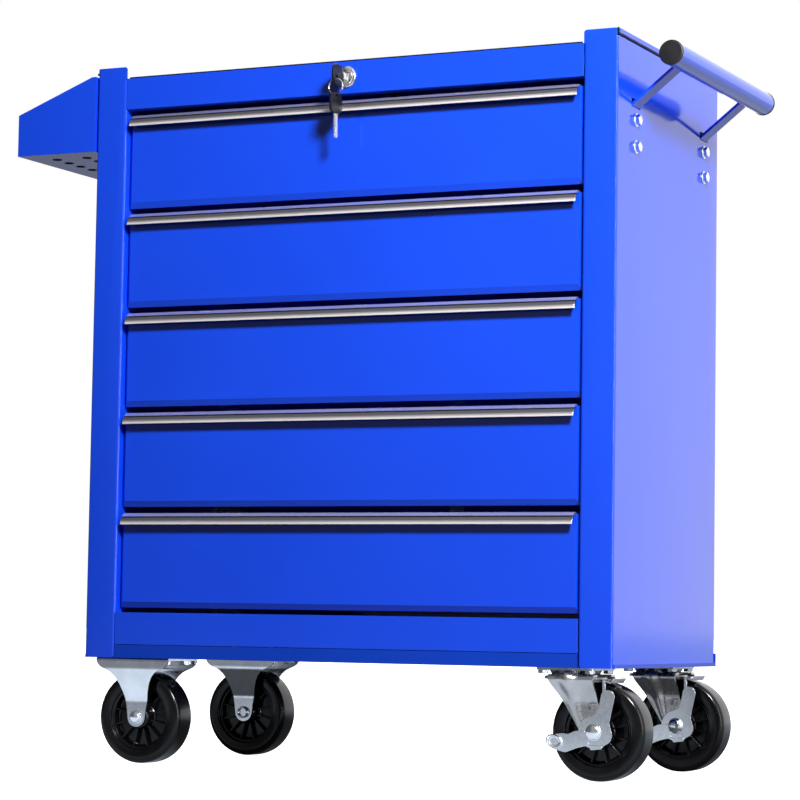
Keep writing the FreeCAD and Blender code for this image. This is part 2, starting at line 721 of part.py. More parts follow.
def swivel_fork(y):
    """Turning fork: dished crown, two trailing legs, a pressed bulge and the brake's stop nut."""
    axle_x = swivel_x + swivel_trail
    crown_top = base_z - crown_drop
    crown = rod(swivel_x, y, crown_top - 3, (0, 0, 1), 32, 3)
    low = axle_z - 14
    shoulder = base_z - 26
    left = [(y - 31, crown_top), (y - 31, crown_top - 4), (y - fork_outer, shoulder), (y - fork_outer, low),
            (y - fork_inner, low), (y - fork_inner, shoulder - 0.4), (y - 28.5, crown_top - 4.2),
            (y - 28.5, crown_top - 3)]
    right = [(2 * y - a, b) for a, b in reversed(left)]
    bent = prism_x(left + right, swivel_x - 22, swivel_x + 50)
    left_edge = [(-19, -5), (-19, -9), (13, -62)]
    right_edge = [(33, -5), (33, -14), (42, -58)]
    outline = leg_outline(swivel_x, axle_x, (left_edge, right_edge), swivel_tip)
    legs = bent.common(prism_y(outline, y - 40, y + 40))
    bulge = fork_bulge(y, axle_x)
    stud = rod(axle_x - 3.2, y - fork_outer, axle_z + 24.8, (0, -1, 0), 2.5, 9)
    nut = box(axle_x - 6.6, axle_x + 0.2, y - fork_outer - 7.2, y - fork_outer - 2.4,
              axle_z + 21.4, axle_z + 28.2)
    stop = rod(axle_x - 3.2, y - fork_outer, axle_z + 24.8, (0, -1, 0), 3.4, 2.6)
    holes = [rod(axle_x, y - 40, axle_z, (0, 1, 0), axle_radius + 0.1, 80),
             rod(swivel_x, y, base_z - 30, (0, 0, 1), 6.06, 40)]
    return cut(fuse([crown, legs, bulge, stud, stop, nut]), holes)


def fork_bulge(y, axle_x):
    """Rounded stiffening bulge down the outside of the front leg."""
    top = V(swivel_x + 2, y - fork_outer, base_z - 9)
    low = V(axle_x - 15, y - fork_outer, axle_z + 10)
    run = low - top
    cone = Part.makeCone(10, 1.5, run.Length, top, run)
    squeeze = FreeCAD.Matrix()
    squeeze.scale(1, 0.55, 1)
    cone.translate(V(0, -(y - fork_outer), 0))
    flat = cone.transformGeometry(squeeze)
    flat.translate(V(0, y - fork_outer, 0))
    keep = box(swivel_x - 40, swivel_x + 60, y - 60, y - fork_outer + 0.5, axle_z, base_z - 9.5)
    return flat.common(keep)


def brake_lever(y):
    """Stamped lever round the axle bolt: body, arm, pedal and the tongue above the tread."""
    axle_x = swivel_x + swivel_trail
    front = y - fork_outer - 6.0
    back = y - fork_outer - 3.5
    plate_points = arc_points(0, 0, 16.5, 100, 215, 9)
    plate_points += [(-8, -14.5), (-3.8, -15.6), (-1.9, -17.6), (10, -15.8), (11, -13.2), (17.7, -9.8)]
    plate_points += [(20.2, -3.3), (19.2, 2), (16.6, 8.5), (20.5, 27)]
    plate_points += [(22.4, 35.8), (19.6, 41.4), (15.0, 43.0), (8.8, 41.0), (6.9, 33.0), (6.0, 26.5), (3.5, 19.0)]
    plate = prism_y([(axle_x + u, axle_z + v) for u, v in plate_points], front, back)
    tab = prism_y([(axle_x + u, axle_z + v) for u, v in
                   [(-3.8, -13), (10, -13), (10, -16.5), (-1.9, -17.8)]], front - 2.5, back)
    arm = [(-13, 6.5), (-27, 0.5), (-33, 3), (-42, -4), (-50, -10), (-46, -17.5), (-30, -21), (-17, -16), (-6, -12)]
    pedal = prism_y([(axle_x + u, axle_z + v) for u, v in arm], front, back)
    shoe_inner = arc_points(0, 0, wheel_radius + 2.2, 80, 70, 5)
    shoe_outer = arc_points(0, 0, wheel_radius + 3.8, 70, 80, 5)
    flare = [(20.6, 52.9), (21.0, 54.4)]
    tongue = prism_y([(axle_x + u, axle_z + v) for u, v in shoe_inner + flare + shoe_outer], front, y + 10)
    riser = prism_y([(axle_x + u, axle_z + v) for u, v in
                     [(9.4, 40), (12.6, 40), (11.5, 53), (9.0, 52.6)]], front, back)
    hole = rod(axle_x, y - 60, axle_z, (0, 1, 0), axle_radius + 0.06, 60)
    return cut(fuse([plate, tab, pedal, foot(y, axle_x, front), tongue, riser]), [hole])


def foot(y, axle_x, front):
    """Flared end of the pedal, turned forward for the shoe's toe."""
    tread = [(-50, -10), (-46, -17.5), (-30, -21), (-30.6, -18.8), (-44.6, -15.6), (-48, -9.2)]
    return prism_y([(axle_x + u, axle_z + v) for u, v in tread], front - 7, front + 1)


def arc_points(x, z, radius, start, end, count):
    """Points evenly spaced along an arc, angles in degrees."""
    step = (end - start) / (count - 1)
    turns = [math.radians(start + i * step) for i in range(count)]
    return [(x + radius * math.cos(a), z + radius * math.sin(a)) for a in turns]


def make_casters():
    """Fixed casters on the left and braked swivel casters on the right."""
    row_names = ("front", "rear")
    write("fixed_caster_forks", [fixed_fork(y) for y in caster_rows_y])
    write("fixed_caster_axles", [axle(fixed_x, y) for y in caster_rows_y])
    write("swivel_plates", [swivel_plate(y) for y in caster_rows_y])
    for row, y in zip(row_names, caster_rows_y):
        write("left_%s_wheel" % row, wheel(fixed_x, y))
        write("right_%s_wheel" % row, wheel(swivel_x + swivel_trail, y))
        write("%s_swivel_fork" % row, swivel_fork(y))
        write("%s_swivel_axle" % row, swivel_axle(y))
        write("%s_brake_lever" % row, brake_lever(y))
    bolts = []
    for x, y in caster_centres():
        bolts += [caster_bolt(a, b, caster_bolt_radius(x)) for a, b in caster_bolt_points(x, y)]
    write("caster_bolts", bolts)


def swivel_axle(y):
    """Longer axle bolt that also carries the brake lever outside the front leg."""
    x = swivel_x + swivel_trail
    reach = fork_outer + 6.4
    pin = rod(x, y - reach, axle_z, (0, 1, 0), axle_radius, reach + fork_outer + 5)
    dome = Part.makeSphere(11, V(x, y - reach + 7, axle_z)).common(
        rod(x, y - reach - 4.2, axle_z, (0, 1, 0), 7.8, 4.2))
    spacer = rod(x, y - fork_outer - 3.2, axle_z, (0, 1, 0), 8, 3.2)
    washer = rod(x, y + fork_outer, axle_z, (0, 1, 0), 8.6, 2)
    nut = hexagon(x, y + fork_outer + 2, axle_z, (0, 1, 0), 15, 6)
    return fuse([pin, dome, spacer, washer, nut])


def caster_bolt(x, y, radius):
    """Bolt up through a caster plate and the pan, with a nut inside the cabinet."""
    under = base_z - fork_sheet
    across = m8_across if radius == m8_radius else m6_across
    thick = radius * 1.25
    head = hexagon(x, y, under - thick, (0, 0, 1), across, thick)
    shank = rod(x, y, under - 1, (0, 0, 1), radius, 15)
    nut = hexagon(x, y, base_z + sheet, (0, 0, 1), across, radius * 1.6)
    return fuse([head, shank, nut])


# ---------------------------------------------------------------- lock and keys
def make_lock():
    """Cylinder lock in the top rail and the rod and bar that hold every drawer."""
    z = lock_axis_z
    flange = rod(0, -3, z, (0, 1, 0), 11, 3)
    rim = [edge for edge in flange.Edges if abs(edge.CenterOfMass.y + 3) < 0.01]
    barrel = rod(0, 0, z, (0, 1, 0), 9.4, 22)
    nut = hexagon(0, sheet, z, (0, 1, 0), 23, 4)
    bore = rod(0, -4, z, (0, 1, 0), 7.05, 30)
    write("lock_housing", cut(fuse([flange.makeFillet(1.2, rim[:1]), barrel, nut]), [bore]))
    plug = rod(0, -3.2, z, (0, 1, 0), 7, 25.2)
    keyway = box(-1.2, 1.2, -5, 16, z - 4.2, z + 4.2)
    write("lock_plug", plug.cut(keyway))
    shaft = rod(0, 22, z, (0, 1, 0), 3, 278)
    crank = box(-3, 10.5, 297.5, 300, z - 3, z + 3)
    pin = rod(8, 300, z, (0, 1, 0), 2, 6)
    write("lock_rod", fuse([shaft, crank, pin]))
    write("lock_bar", lock_bar(z))


def lock_bar(z):
    """Upright bar behind the drawers with a finger above each drawer's catch tab."""
    low = drawer_bottom(drawer_count) + 20
    head = box(-6, 15, 302.5, 304.5, z - 14, z + 8)
    stem = box(-9, 9, 302.5, 304.5, low, z - 10)
    window = box(-2.6, 10.6, 300, 306, z - 4.3, z + 2.6)
    pieces = [stem, head]
    for number in range(1, drawer_count + 1):
        tab_top = drawer_bottom(number) + box_lift + box_side_height
        pieces.append(box(-5, 5, 294.8, 304.5, tab_top + 10.5, tab_top + 12.5))
        pieces.append(box(-5, 5, 294.8, 296.8, tab_top + 2.0, tab_top + 12.5))
    return cut(fuse(pieces), [window])


def make_lock_bar_guides():
    """Two bent clips that stand off the back panel and hold the lock bar upright."""
    clip_half = 11.0
    web_front = 305.0
    lip_front = 300.8
    panel_face = body_depth - 2 * sheet
    guides = []
    for level in (90, 560):
        z = base_z + level
        top = z + 20
        pieces = [box(-6, 6, web_front + sheet, panel_face, z, top)]
        pieces.append(box(-clip_half, clip_half, web_front, web_front + sheet, z, top))
        for side in (-1, 1):
            wall = sorted([side * clip_half, side * (clip_half - sheet)])
            lip = sorted([side * clip_half, side * (clip_half - 4)])
            pieces.append(box(wall[0], wall[1], lip_front, web_front + sheet, z, top))
            pieces.append(box(lip[0], lip[1], lip_front, lip_front + sheet, z, top))
        guides.append(fuse(pieces))
    write("lock_bar_guides", guides)


def squared_oval(middle_y, middle_z, half_y, half_z):
    """Outline of a key's head, squarer than an ellipse."""
    points = []
    for i in range(24):
        turn = math.radians(15 * i)
        u = math.copysign(abs(math.cos(turn)) ** 0.7, math.cos(turn))
        v = math.copysign(abs(math.sin(turn)) ** 0.7, math.sin(turn))
        points.append((middle_y + half_y * u, middle_z + half_z * v))
    return points


def make_keys():
    """Key in the lock, and the wire ring that hangs through the eye of its head."""
    z = lock_axis_z
    head_back = -9.0
    head_z = z - 2.0
    blade_end = 12.0
    blade_half = 3.4
    head = prism_x(squared_oval((key_tip_y + head_back) / 2, head_z, (head_back - key_tip_y) / 2, 11.0),
                   -key_plane, key_plane)
    blade = box(-1, 1, head_back - 2, blade_end, z - blade_half, z + blade_half)
    notches = []
    for i in range(3):
        y = blade_end - 4 - 4 * i
        notches.append(prism_x([(y + 1, z - 4), (y - 1, z - 4), (y, z - 2.2)], -2, 2))
    eye = rod(-5, eye_y, eye_z, (1, 0, 0), eye_radius, 10)
    write("key", cut(fuse([head, blade]), notches + [eye]))
    ring_z = eye_z - ring_hang - ring_radius
    write("key_ring", Part.makeTorus(ring_radius, ring_wire, V(0, eye_y, ring_z), V(0, 1, 0)))


# ---------------------------------------------------------------- build
make_side_panels()
make_back_panel()
make_top_tray()
make_bottom_pan()
make_front_rails()
make_rear_uprights()
make_drawers()
make_handle()
make_bolts()
make_side_tray()
make_casters()
make_lock()
make_lock_bar_guides()
make_keys()
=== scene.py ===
"""Looks of the rolling tool cabinet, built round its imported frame. Metres; X right, Y back, Z up."""

import math

import bmesh
import bpy
from mathutils import Matrix, Vector


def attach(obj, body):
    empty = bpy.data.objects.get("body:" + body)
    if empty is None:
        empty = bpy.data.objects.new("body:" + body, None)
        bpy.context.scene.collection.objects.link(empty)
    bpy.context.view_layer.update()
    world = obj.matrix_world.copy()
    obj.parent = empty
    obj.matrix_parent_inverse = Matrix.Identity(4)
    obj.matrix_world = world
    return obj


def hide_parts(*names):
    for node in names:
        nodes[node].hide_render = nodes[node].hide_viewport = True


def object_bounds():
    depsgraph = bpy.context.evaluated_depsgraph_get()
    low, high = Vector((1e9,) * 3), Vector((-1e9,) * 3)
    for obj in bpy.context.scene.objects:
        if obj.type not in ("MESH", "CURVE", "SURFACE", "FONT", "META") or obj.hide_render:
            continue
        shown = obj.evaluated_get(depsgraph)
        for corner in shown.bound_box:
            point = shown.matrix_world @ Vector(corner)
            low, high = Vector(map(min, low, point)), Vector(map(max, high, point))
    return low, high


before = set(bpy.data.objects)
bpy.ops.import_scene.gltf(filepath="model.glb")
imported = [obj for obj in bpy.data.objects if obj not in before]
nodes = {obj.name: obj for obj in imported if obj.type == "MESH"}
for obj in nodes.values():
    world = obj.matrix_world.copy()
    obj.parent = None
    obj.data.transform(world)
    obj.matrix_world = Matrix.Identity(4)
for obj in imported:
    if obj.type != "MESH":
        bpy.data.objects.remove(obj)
cad_low, cad_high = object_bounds()
scene = bpy.context.scene
MM = 0.001


# ---------------------------------------------------------------- shading helpers
def new_material(name, base, metallic, roughness):
    """Principled material and its node tree."""
    material = bpy.data.materials.new(name)
    material.use_nodes = True
    tree = material.node_tree
    shader = tree.nodes["Principled BSDF"]
    shader.inputs["Base Color"].default_value = (*base, 1)
    shader.inputs["Metallic"].default_value = metallic
    shader.inputs["Roughness"].default_value = roughness
    return material, tree, shader


def noise(tree, scale, detail=2.0, stretch=(1, 1, 1), coordinate="Object"):
    """Noise in the piece's own coordinates; stretch makes it run along an axis."""
    place = tree.nodes.new("ShaderNodeTexCoord")
    mapping = tree.nodes.new("ShaderNodeMapping")
    mapping.inputs["Scale"].default_value = stretch
    texture = tree.nodes.new("ShaderNodeTexNoise")
    texture.inputs["Scale"].default_value = scale
    texture.inputs["Detail"].default_value = detail
    tree.links.new(place.outputs[coordinate], mapping.inputs["Vector"])
    tree.links.new(mapping.outputs["Vector"], texture.inputs["Vector"])
    return texture.outputs["Fac"]


def ramp(tree, source, low, high, start=0.3, end=0.7):
    """Source value turned into a number between low and high."""
    node = tree.nodes.new("ShaderNodeMapRange")
    node.inputs["From Min"].default_value = start
    node.inputs["From Max"].default_value = end
    node.inputs["To Min"].default_value = low
    node.inputs["To Max"].default_value = high
    tree.links.new(source, node.inputs["Value"])
    return node.outputs["Result"]


def blend_colours(tree, source, first, second):
    """Two colours mixed by a value."""
    node = tree.nodes.new("ShaderNodeMix")
    node.data_type = "RGBA"
    node.inputs["A"].default_value = (*first, 1)
    node.inputs["B"].default_value = (*second, 1)
    tree.links.new(source, node.inputs["Factor"])
    return node.outputs["Result"]


def split_axes(tree, source):
    """X, Y and Z of a vector."""
    node = tree.nodes.new("ShaderNodeSeparateXYZ")
    tree.links.new(source, node.inputs["Vector"])
    return node.outputs


def combined(tree, operation, first, second):
    """Two values combined by one operation."""
    node = tree.nodes.new("ShaderNodeMath")
    node.operation = operation
    tree.links.new(first, node.inputs[0])
    tree.links.new(second, node.inputs[1])
    return node.outputs["Value"]


def bump(tree, shader, height, strength, distance):
    """Fine relief from a height value."""
    node = tree.nodes.new("ShaderNodeBump")
    node.inputs["Strength"].default_value = strength
    node.inputs["Distance"].default_value = distance
    tree.links.new(height, node.inputs["Height"])
    tree.links.new(node.outputs["Normal"], shader.inputs["Normal"])


# ---------------------------------------------------------------- materials
# Levels on a pull from 0 at its lower edge to 1 at its top, for its painted groove shade, its painted dark
# reflection band and the painted highlight of its less metallic lower edge; the grey of that reflection band
# and the painted shade of its back; and the tilt of a front's rolled edge.
GROOVE = 0.66
DARK_REFLECTION_FROM = 0.25
DARK_REFLECTION_FULL = 0.36
HIGHLIGHT_EDGE = 0.17
ROLLED_UP = -0.30
DARK_REFLECTION_GREY = (0.26, 0.26, 0.30)
PAINTED_BACK_SHADE = (0.008, 0.008, 0.014)


def paint(name, deep, light, roughness, specular):
    """Powder coat: fine orange peel, slight colour drift, gloss that varies a little."""
    material, tree, shader = new_material(name, light, 0.0, roughness)
    drift = ramp(tree, noise(tree, 5.0), 0, 1)
    tree.links.new(blend_colours(tree, drift, deep, light), shader.inputs["Base Color"])
    gloss = ramp(tree, noise(tree, 60.0, 3.0), roughness - 0.01, roughness + 0.02)
    tree.links.new(gloss, shader.inputs["Roughness"])
    shader.inputs["Specular IOR Level"].default_value = specular
    bump(tree, shader, noise(tree, 900.0, 1.0), 0.03, 0.0004)
    return material


def front_paint(*facts):
    """Paint of a drawer front, whose rolled lower edge catches the light from above."""
    material = paint("front_paint", *facts)
    tree = material.node_tree
    surface = tree.nodes.new("ShaderNodeNewGeometry")
    facing = split_axes(tree, surface.outputs["Normal"])["Y"]
    turned_up = tree.nodes.new("ShaderNodeVectorMath")
    turned_up.operation = "MULTIPLY"
    turned_up.inputs[1].default_value = (1, 1, ROLLED_UP)
    tree.links.new(surface.outputs["Normal"], turned_up.inputs[0])
    mix = tree.nodes.new("ShaderNodeMix")
    mix.data_type = "VECTOR"
    tree.links.new(ramp(tree, facing, 1, 0, -0.35, -0.15), mix.inputs["Factor"])
    tree.links.new(surface.outputs["Normal"], mix.inputs["A"])
    tree.links.new(turned_up.outputs["Vector"], mix.inputs["B"])
    unit = tree.nodes.new("ShaderNodeVectorMath")
    unit.operation = "NORMALIZE"
    tree.links.new(mix.outputs["Result"], unit.inputs[0])
    relief = next(node for node in tree.nodes if node.type == "BUMP")
    tree.links.new(unit.outputs["Vector"], relief.inputs["Normal"])
    return material


def plated(name, deep, light, roughness, stretch, relief, metallic=1.0, patches=35.0):
    """Plated or drawn metal: streaks along one direction, cloudy tone and faint relief."""
    material, tree, shader = new_material(name, light, metallic, roughness)
    cloud = ramp(tree, noise(tree, patches, 4.0), 0, 1, 0.35, 0.65)
    tree.links.new(blend_colours(tree, cloud, deep, light), shader.inputs["Base Color"])
    streaks = noise(tree, 420.0, 3.0, stretch)
    tree.links.new(ramp(tree, streaks, roughness - 0.06, roughness + 0.08), shader.inputs["Roughness"])
    bump(tree, shader, streaks, relief, 0.0002)
    return material


def drawn_profile(name, deep, light, roughness):
    """Drawn aluminium with streaks, painted shade in its groove, a painted dark reflection band, a painted
    highlight from a less metallic lower edge and painted shade on the back that faces away.
    """
    material, tree, shader = new_material(name, light, 0.8, roughness)
    place = tree.nodes.new("ShaderNodeTexCoord")
    level = split_axes(tree, place.outputs["Generated"])["Z"]
    facing = split_axes(tree, place.outputs["Normal"])["Y"]
    cloud = ramp(tree, noise(tree, 35.0, 4.0, (0.2, 1, 1)), 0, 1, 0.35, 0.65)
    # Painted dark reflection: a grey band on the pull's face below the groove.
    drawn = tree.nodes.new("ShaderNodeMix")
    drawn.data_type = "RGBA"
    drawn.inputs["B"].default_value = (*DARK_REFLECTION_GREY, 1)
    tree.links.new(blend_colours(tree, cloud, deep, light), drawn.inputs["A"])
    dark_reflection = combined(tree, "MULTIPLY", ramp(tree, level, 0, 1, DARK_REFLECTION_FROM, DARK_REFLECTION_FULL),
                    ramp(tree, level, 1, 0, GROOVE, GROOVE + 0.04))
    tree.links.new(dark_reflection, drawn.inputs["Factor"])
    # Painted shade in the groove.
    groove_shade = combined(tree, "MULTIPLY", ramp(tree, level, 0, 1, GROOVE - 0.10, GROOVE - 0.04),
                      ramp(tree, level, 1, 0, GROOVE + 0.03, GROOVE + 0.07))
    # Painted shade on the faces that turn away to the back.
    back_shade = ramp(tree, facing, 0, 1, 0.05, 0.3)
    tone = tree.nodes.new("ShaderNodeMix")
    tone.data_type = "RGBA"
    tone.inputs["B"].default_value = (*PAINTED_BACK_SHADE, 1)
    tree.links.new(combined(tree, "MAXIMUM", groove_shade, back_shade), tone.inputs["Factor"])
    tree.links.new(drawn.outputs["Result"], tone.inputs["A"])
    tree.links.new(tone.outputs["Result"], shader.inputs["Base Color"])
    # Painted highlight: the lower edge is less metallic, so it lights up in the key light.
    edge_highlight = ramp(tree, level, 0.30, 0.80, HIGHLIGHT_EDGE - 0.05, HIGHLIGHT_EDGE + 0.05)
    tree.links.new(edge_highlight, shader.inputs["Metallic"])
    streaks = noise(tree, 420.0, 3.0, (0.02, 1, 1))
    tree.links.new(ramp(tree, streaks, roughness - 0.06, roughness + 0.08), shader.inputs["Roughness"])
    bump(tree, shader, streaks, 0.05, 0.0002)
    return material


def moulded(name, deep, light, roughness, specular, grain):
    """Moulded plastic or rubber: fine grain, dusty drift in tone and uneven gloss."""
    material, tree, shader = new_material(name, light, 0.0, roughness)
    dust = ramp(tree, noise(tree, 28.0, 4.0), 0, 1, 0.4, 0.7)
    tree.links.new(blend_colours(tree, dust, deep, light), shader.inputs["Base Color"])
    gloss = ramp(tree, noise(tree, 90.0, 3.0), roughness - 0.05, roughness + 0.07)
    tree.links.new(gloss, shader.inputs["Roughness"])
    shader.inputs["Specular IOR Level"].default_value = specular
    bump(tree, shader, noise(tree, 1500.0, 2.0), grain, 0.0003)
    return material


materials = {
    "cabinet_paint": paint("cabinet_paint", (0.004, 0.068, 0.84), (0.006, 0.075, 0.90), 0.07, 0.50),
    "drawer_paint": paint("drawer_paint", (0.004, 0.055, 0.74), (0.006, 0.066, 0.80), 0.22, 0.40),
    "tube_paint": paint("tube_paint", (0.004, 0.068, 0.84), (0.006, 0.075, 0.90), 0.07, 0.95),
    "front_paint": front_paint((0.004, 0.068, 0.84), (0.006, 0.075, 0.90), 0.07, 0.50),
    "zinc_steel": plated("zinc_steel", (0.50, 0.51, 0.53), (0.66, 0.67, 0.69), 0.30, (1, 0.04, 1), 0.05),
    "pull_aluminium": drawn_profile("pull_aluminium", (0.84, 0.79, 0.79), (0.92, 0.87, 0.87), 0.20),
    "black_plastic": moulded("black_plastic", (0.008, 0.008, 0.010), (0.015, 0.015, 0.018), 0.40, 0.45, 0.08),
    "bolt_zinc": plated("bolt_zinc", (0.80, 0.83, 0.88), (0.92, 0.94, 0.97), 0.14, (1, 1, 1), 0.03),
    "caster_zinc": plated("caster_zinc", (0.72, 0.74, 0.78), (0.86, 0.88, 0.92), 0.18, (1, 1, 1), 0.04),
    # Darker, warmer copy of the caster zinc for the swivel forks: painted shade.
    "fork_zinc": plated("fork_zinc", (0.40, 0.385, 0.38), (0.66, 0.65, 0.66), 0.26, (1, 1, 1), 0.015,
                        patches=14.0),
    "wheel_black": moulded("wheel_black", (0.002, 0.002, 0.003), (0.005, 0.005, 0.006), 0.17, 0.28, 0.02),
    # Chrome's tone swings from near black to white in small patches: painted reflections.
    "chrome": plated("chrome", (0.04, 0.04, 0.04), (0.95, 0.95, 0.96), 0.07, (1, 1, 1), 0.01, 0.85, 120.0),
    # Black of the strips under the top's hem and the rings in the tool holes, painted shade, and of the top
    # mat, whose front edge along the rail is painted shade too.
    "shade_and_mat_black": moulded("shade_and_mat_black", (0.003, 0.003, 0.004), (0.006, 0.006, 0.008), 0.55, 0.12, 0.05),
    "key_metal": plated("key_metal", (0.78, 0.76, 0.78), (0.90, 0.88, 0.90), 0.22, (1, 1, 0.1), 0.03, 0.6),
    "key_black": moulded("key_black", (0.003, 0.003, 0.004), (0.012, 0.012, 0.016), 0.36, 0.25, 0.10),
    # Darker, duller copy of the cabinet paint for the bottom pan, whose lip faces down: painted shade.
    "shaded_pan_paint": paint("shaded_pan_paint", (0.006, 0.05, 0.52), (0.008, 0.06, 0.58), 0.24, 0.12),
    # Dark copy of the bolt zinc for the swivel plates and the caster plates' bolts under the cabinet: painted
    # shade.
    "shaded_plate_zinc": plated("shaded_plate_zinc", (0.30, 0.32, 0.36), (0.44, 0.46, 0.50), 0.26, (1, 1, 1),
                              0.05),
}
NODE_LOOKS = {"bottom_pan": "shaded_pan_paint", "swivel_plates": "shaded_plate_zinc", "handle_tube": "tube_paint"}
EDGE_ROUNDS = {"handle_brackets": 0.6}
for number in range(1, 6):
    NODE_LOOKS["drawer_%d_front" % number] = "front_paint"
    EDGE_ROUNDS["drawer_%d_pull" % number] = 0.6
PLAIN_ROUND = 0.35


# ---------------------------------------------------------------- cabinet dimensions, in mm
SHIFT = Vector((17.75, -141.6, 0.0))
BASE_Z = 114.0
AXLE_Z = 50.0
WHEEL_RADIUS = 50.0
FORK_OUTER = 21.0
FORK_SHEET = 2.5
FIXED_TIP = 10.5
SWIVEL_TIP = 13.0
ROWS = {"front": 35.0, "rear": 280.0}
FIXED_X = -249.0
SWIVEL_X = 255.0
TRAIL = 30.0
FIXED_BOLTS = (36.0, 22.0)
SWIVEL_BOLTS = (25.5, 25.5)
WALL_X = 307.5
TRAY_X = -311.0
BOLT_ROWS = (54.0, 266.5)
HANDLE_BOLTS = (535.5, 563.5)
TRAY_BOLTS = (575.0, 625.0)
BODY_TOP = 764.0
HEM_BOTTOM = BODY_TOP - 4.7
TRAY_FLOOR = BASE_Z + 636.9
MAT_HALF = 268.0
MAT_WIDE_HALF = 302.0
MAT_BACK = 308.0
MAT_THICKNESS = 1.5
STRIP_HEIGHT = 2.5
STRIP_BACK = 314.8
TOOL_COLUMNS = (-379.0, -340.0)
TOOL_MIDDLE = 157.5
TOOL_PITCH = 25.0
TRAY_SHEET_TOP = BASE_Z + 558.1
LOCK_Z = 733.8
EYE_Y = -25.0
EYE_Z = LOCK_Z - 4.7
RING_RADIUS = 8.2
RING_Z = EYE_Z - 1.5 - RING_RADIUS
RING_WIRE = 0.7
RING_GAP = 1.5
SPARE_TURN = 8.0
SPARE_LEAN = 0.03
SPARE_SLACK = 1.2
SPARE_EYE_IN = 8.4
SPARE_BREADTH = 0.68
BULGE_HEIGHT = 4.2
BULGE_TOP_RADIUS = 12.5
BULGE_LOW_RADIUS = 4.0


# ---------------------------------------------------------------- shape helpers
def along_z(x, z, y):
    """Outline in X and Z, pushed along Y."""
    return Vector((x, y, z))


def join_shells(shells):
    """One list of corners and one of faces from several."""
    corners = []
    faces = []
    for shell_corners, shell_faces in shells:
        start = len(corners)
        corners += [Vector(corner) for corner in shell_corners]
        faces += [[start + i for i in face] for face in shell_faces]
    return corners, faces


def rounded(points, radius, steps=4, closed=True):
    """Outline with its corners rounded, each as far as its neighbours leave room."""
    count = len(points)
    result = []
    for i, point in enumerate(points):
        corner = Vector(point)
        if not closed and i in (0, count - 1):
            result.append(corner)
            continue
        before = Vector(points[i - 1]) - corner
        after = Vector(points[(i + 1) % count]) - corner
        first = corner + before.normalized() * min(radius, before.length * 0.48)
        last = corner + after.normalized() * min(radius, after.length * 0.48)
        for k in range(steps + 1):
            t = k / steps
            result.append(first * (1 - t) ** 2 + corner * 2 * t * (1 - t) + last * t * t)
    return result


def plate(points, low, high, place):
    """Solid of a flat outline between two levels; place puts it in space."""
    count = len(points)
    corners = [place(p[0], p[1], low) for p in points] + [place(p[0], p[1], high) for p in points]
    faces = [[i, (i + 1) % count, (i + 1) % count + count, i + count] for i in range(count)]
    faces.append(list(range(count))[::-1])
    faces.append(list(range(count, 2 * count)))
    return corners, faces


def plate_with_eye(points, eye, eye_radius, low, high, place):
    """Flat solid with one round hole that every point of its outline can be seen from."""
    count = len(points)
    hole = []
    for p in points:
        turn = math.atan2(p[1] - eye[1], p[0] - eye[0])
        hole.append((eye[0] + eye_radius * math.cos(turn), eye[1] + eye_radius * math.sin(turn)))
    corners = []
    for level in (low, high):
        corners += [place(p[0], p[1], level) for p in points]
        corners += [place(p[0], p[1], level) for p in hole]
    faces = []
    for i in range(count):
        j = (i + 1) % count
        faces.append([i, j, count + j, count + i])
        faces.append([2 * count + j, 2 * count + i, 3 * count + i, 3 * count + j])
        faces.append([j, i, 2 * count + i, 2 * count + j])
        faces.append([count + i, count + j, 3 * count + j, 3 * count + i])
    return corners, faces


def turned(profile, centre, axis, steps=48, closed=False):
    """Turned solid about an axis; profile is (radius, distance along the axis)."""
    way = Vector(axis).normalized()
    side = way.orthogonal().normalized()
    other = way.cross(side)
    middle = Vector(centre)
    corners = []
    rings = []
    for radius, reach in profile:
        if radius < 1e-6:
            rings.append([len(corners)])
            corners.append(middle + way * reach)
            continue
        rings.append(list(range(len(corners), len(corners) + steps)))
        for i in range(steps):
            turn = 2 * math.pi * i / steps
            spoke = side * math.cos(turn) + other * math.sin(turn)
            corners.append(middle + way * reach + spoke * radius)
    faces = []
    pairs = list(zip(rings, rings[1:]))
    if closed:
        pairs.append((rings[-1], rings[0]))
    for first, second in pairs:
        for i in range(steps):
            j = (i + 1) % steps
            if len(first) == 1:
                faces.append([first[0], second[i], second[j]])
            elif len(second) == 1:
                faces.append([first[i], first[j], second[0]])
            else:
                faces.append([first[i], first[j], second[j], second[i]])
    if not closed:
        for ring in (rings[0], rings[-1]):
            if len(ring) > 1:
                faces.append(list(ring))
    return corners, faces


def swept(path, radius, steps=10):
    """Round wire along an open path."""
    corners = []
    count = len(path)
    for i, point in enumerate(path):
        ahead = (path[min(i + 1, count - 1)] - path[max(i - 1, 0)]).normalized()
        side = ahead.cross(Vector((0, 1, 0))).normalized()
        other = ahead.cross(side)
        for k in range(steps):
            turn = 2 * math.pi * k / steps
            corners.append(point + (side * math.cos(turn) + other * math.sin(turn)) * radius)
    faces = []
    for i in range(count - 1):
        for k in range(steps):
            j = (k + 1) % steps
            faces.append([i * steps + k, i * steps + j, (i + 1) * steps + j, (i + 1) * steps + k])
    faces.append(list(range(steps)))
    faces.append(list(range((count - 1) * steps, count * steps)))
    return corners, faces


def divided(path, spacing):
    """Path with points added so that none are further apart than the spacing."""
    result = [path[0]]
    for first, last in zip(path, path[1:]):
        count = max(1, math.ceil((last - first).length / spacing))
        result += [first.lerp(last, (i + 1) / count) for i in range(count)]
    return result


def value_at(table, level):
    """Width read from a table of (level, width) that runs downwards."""
    for (high, first), (low, last) in zip(table, table[1:]):
        if level >= low:
            share = (high - level) / (high - low) if high > low else 0.0
            return first + (last - first) * max(0.0, min(1.0, share))
    return table[-1][1]


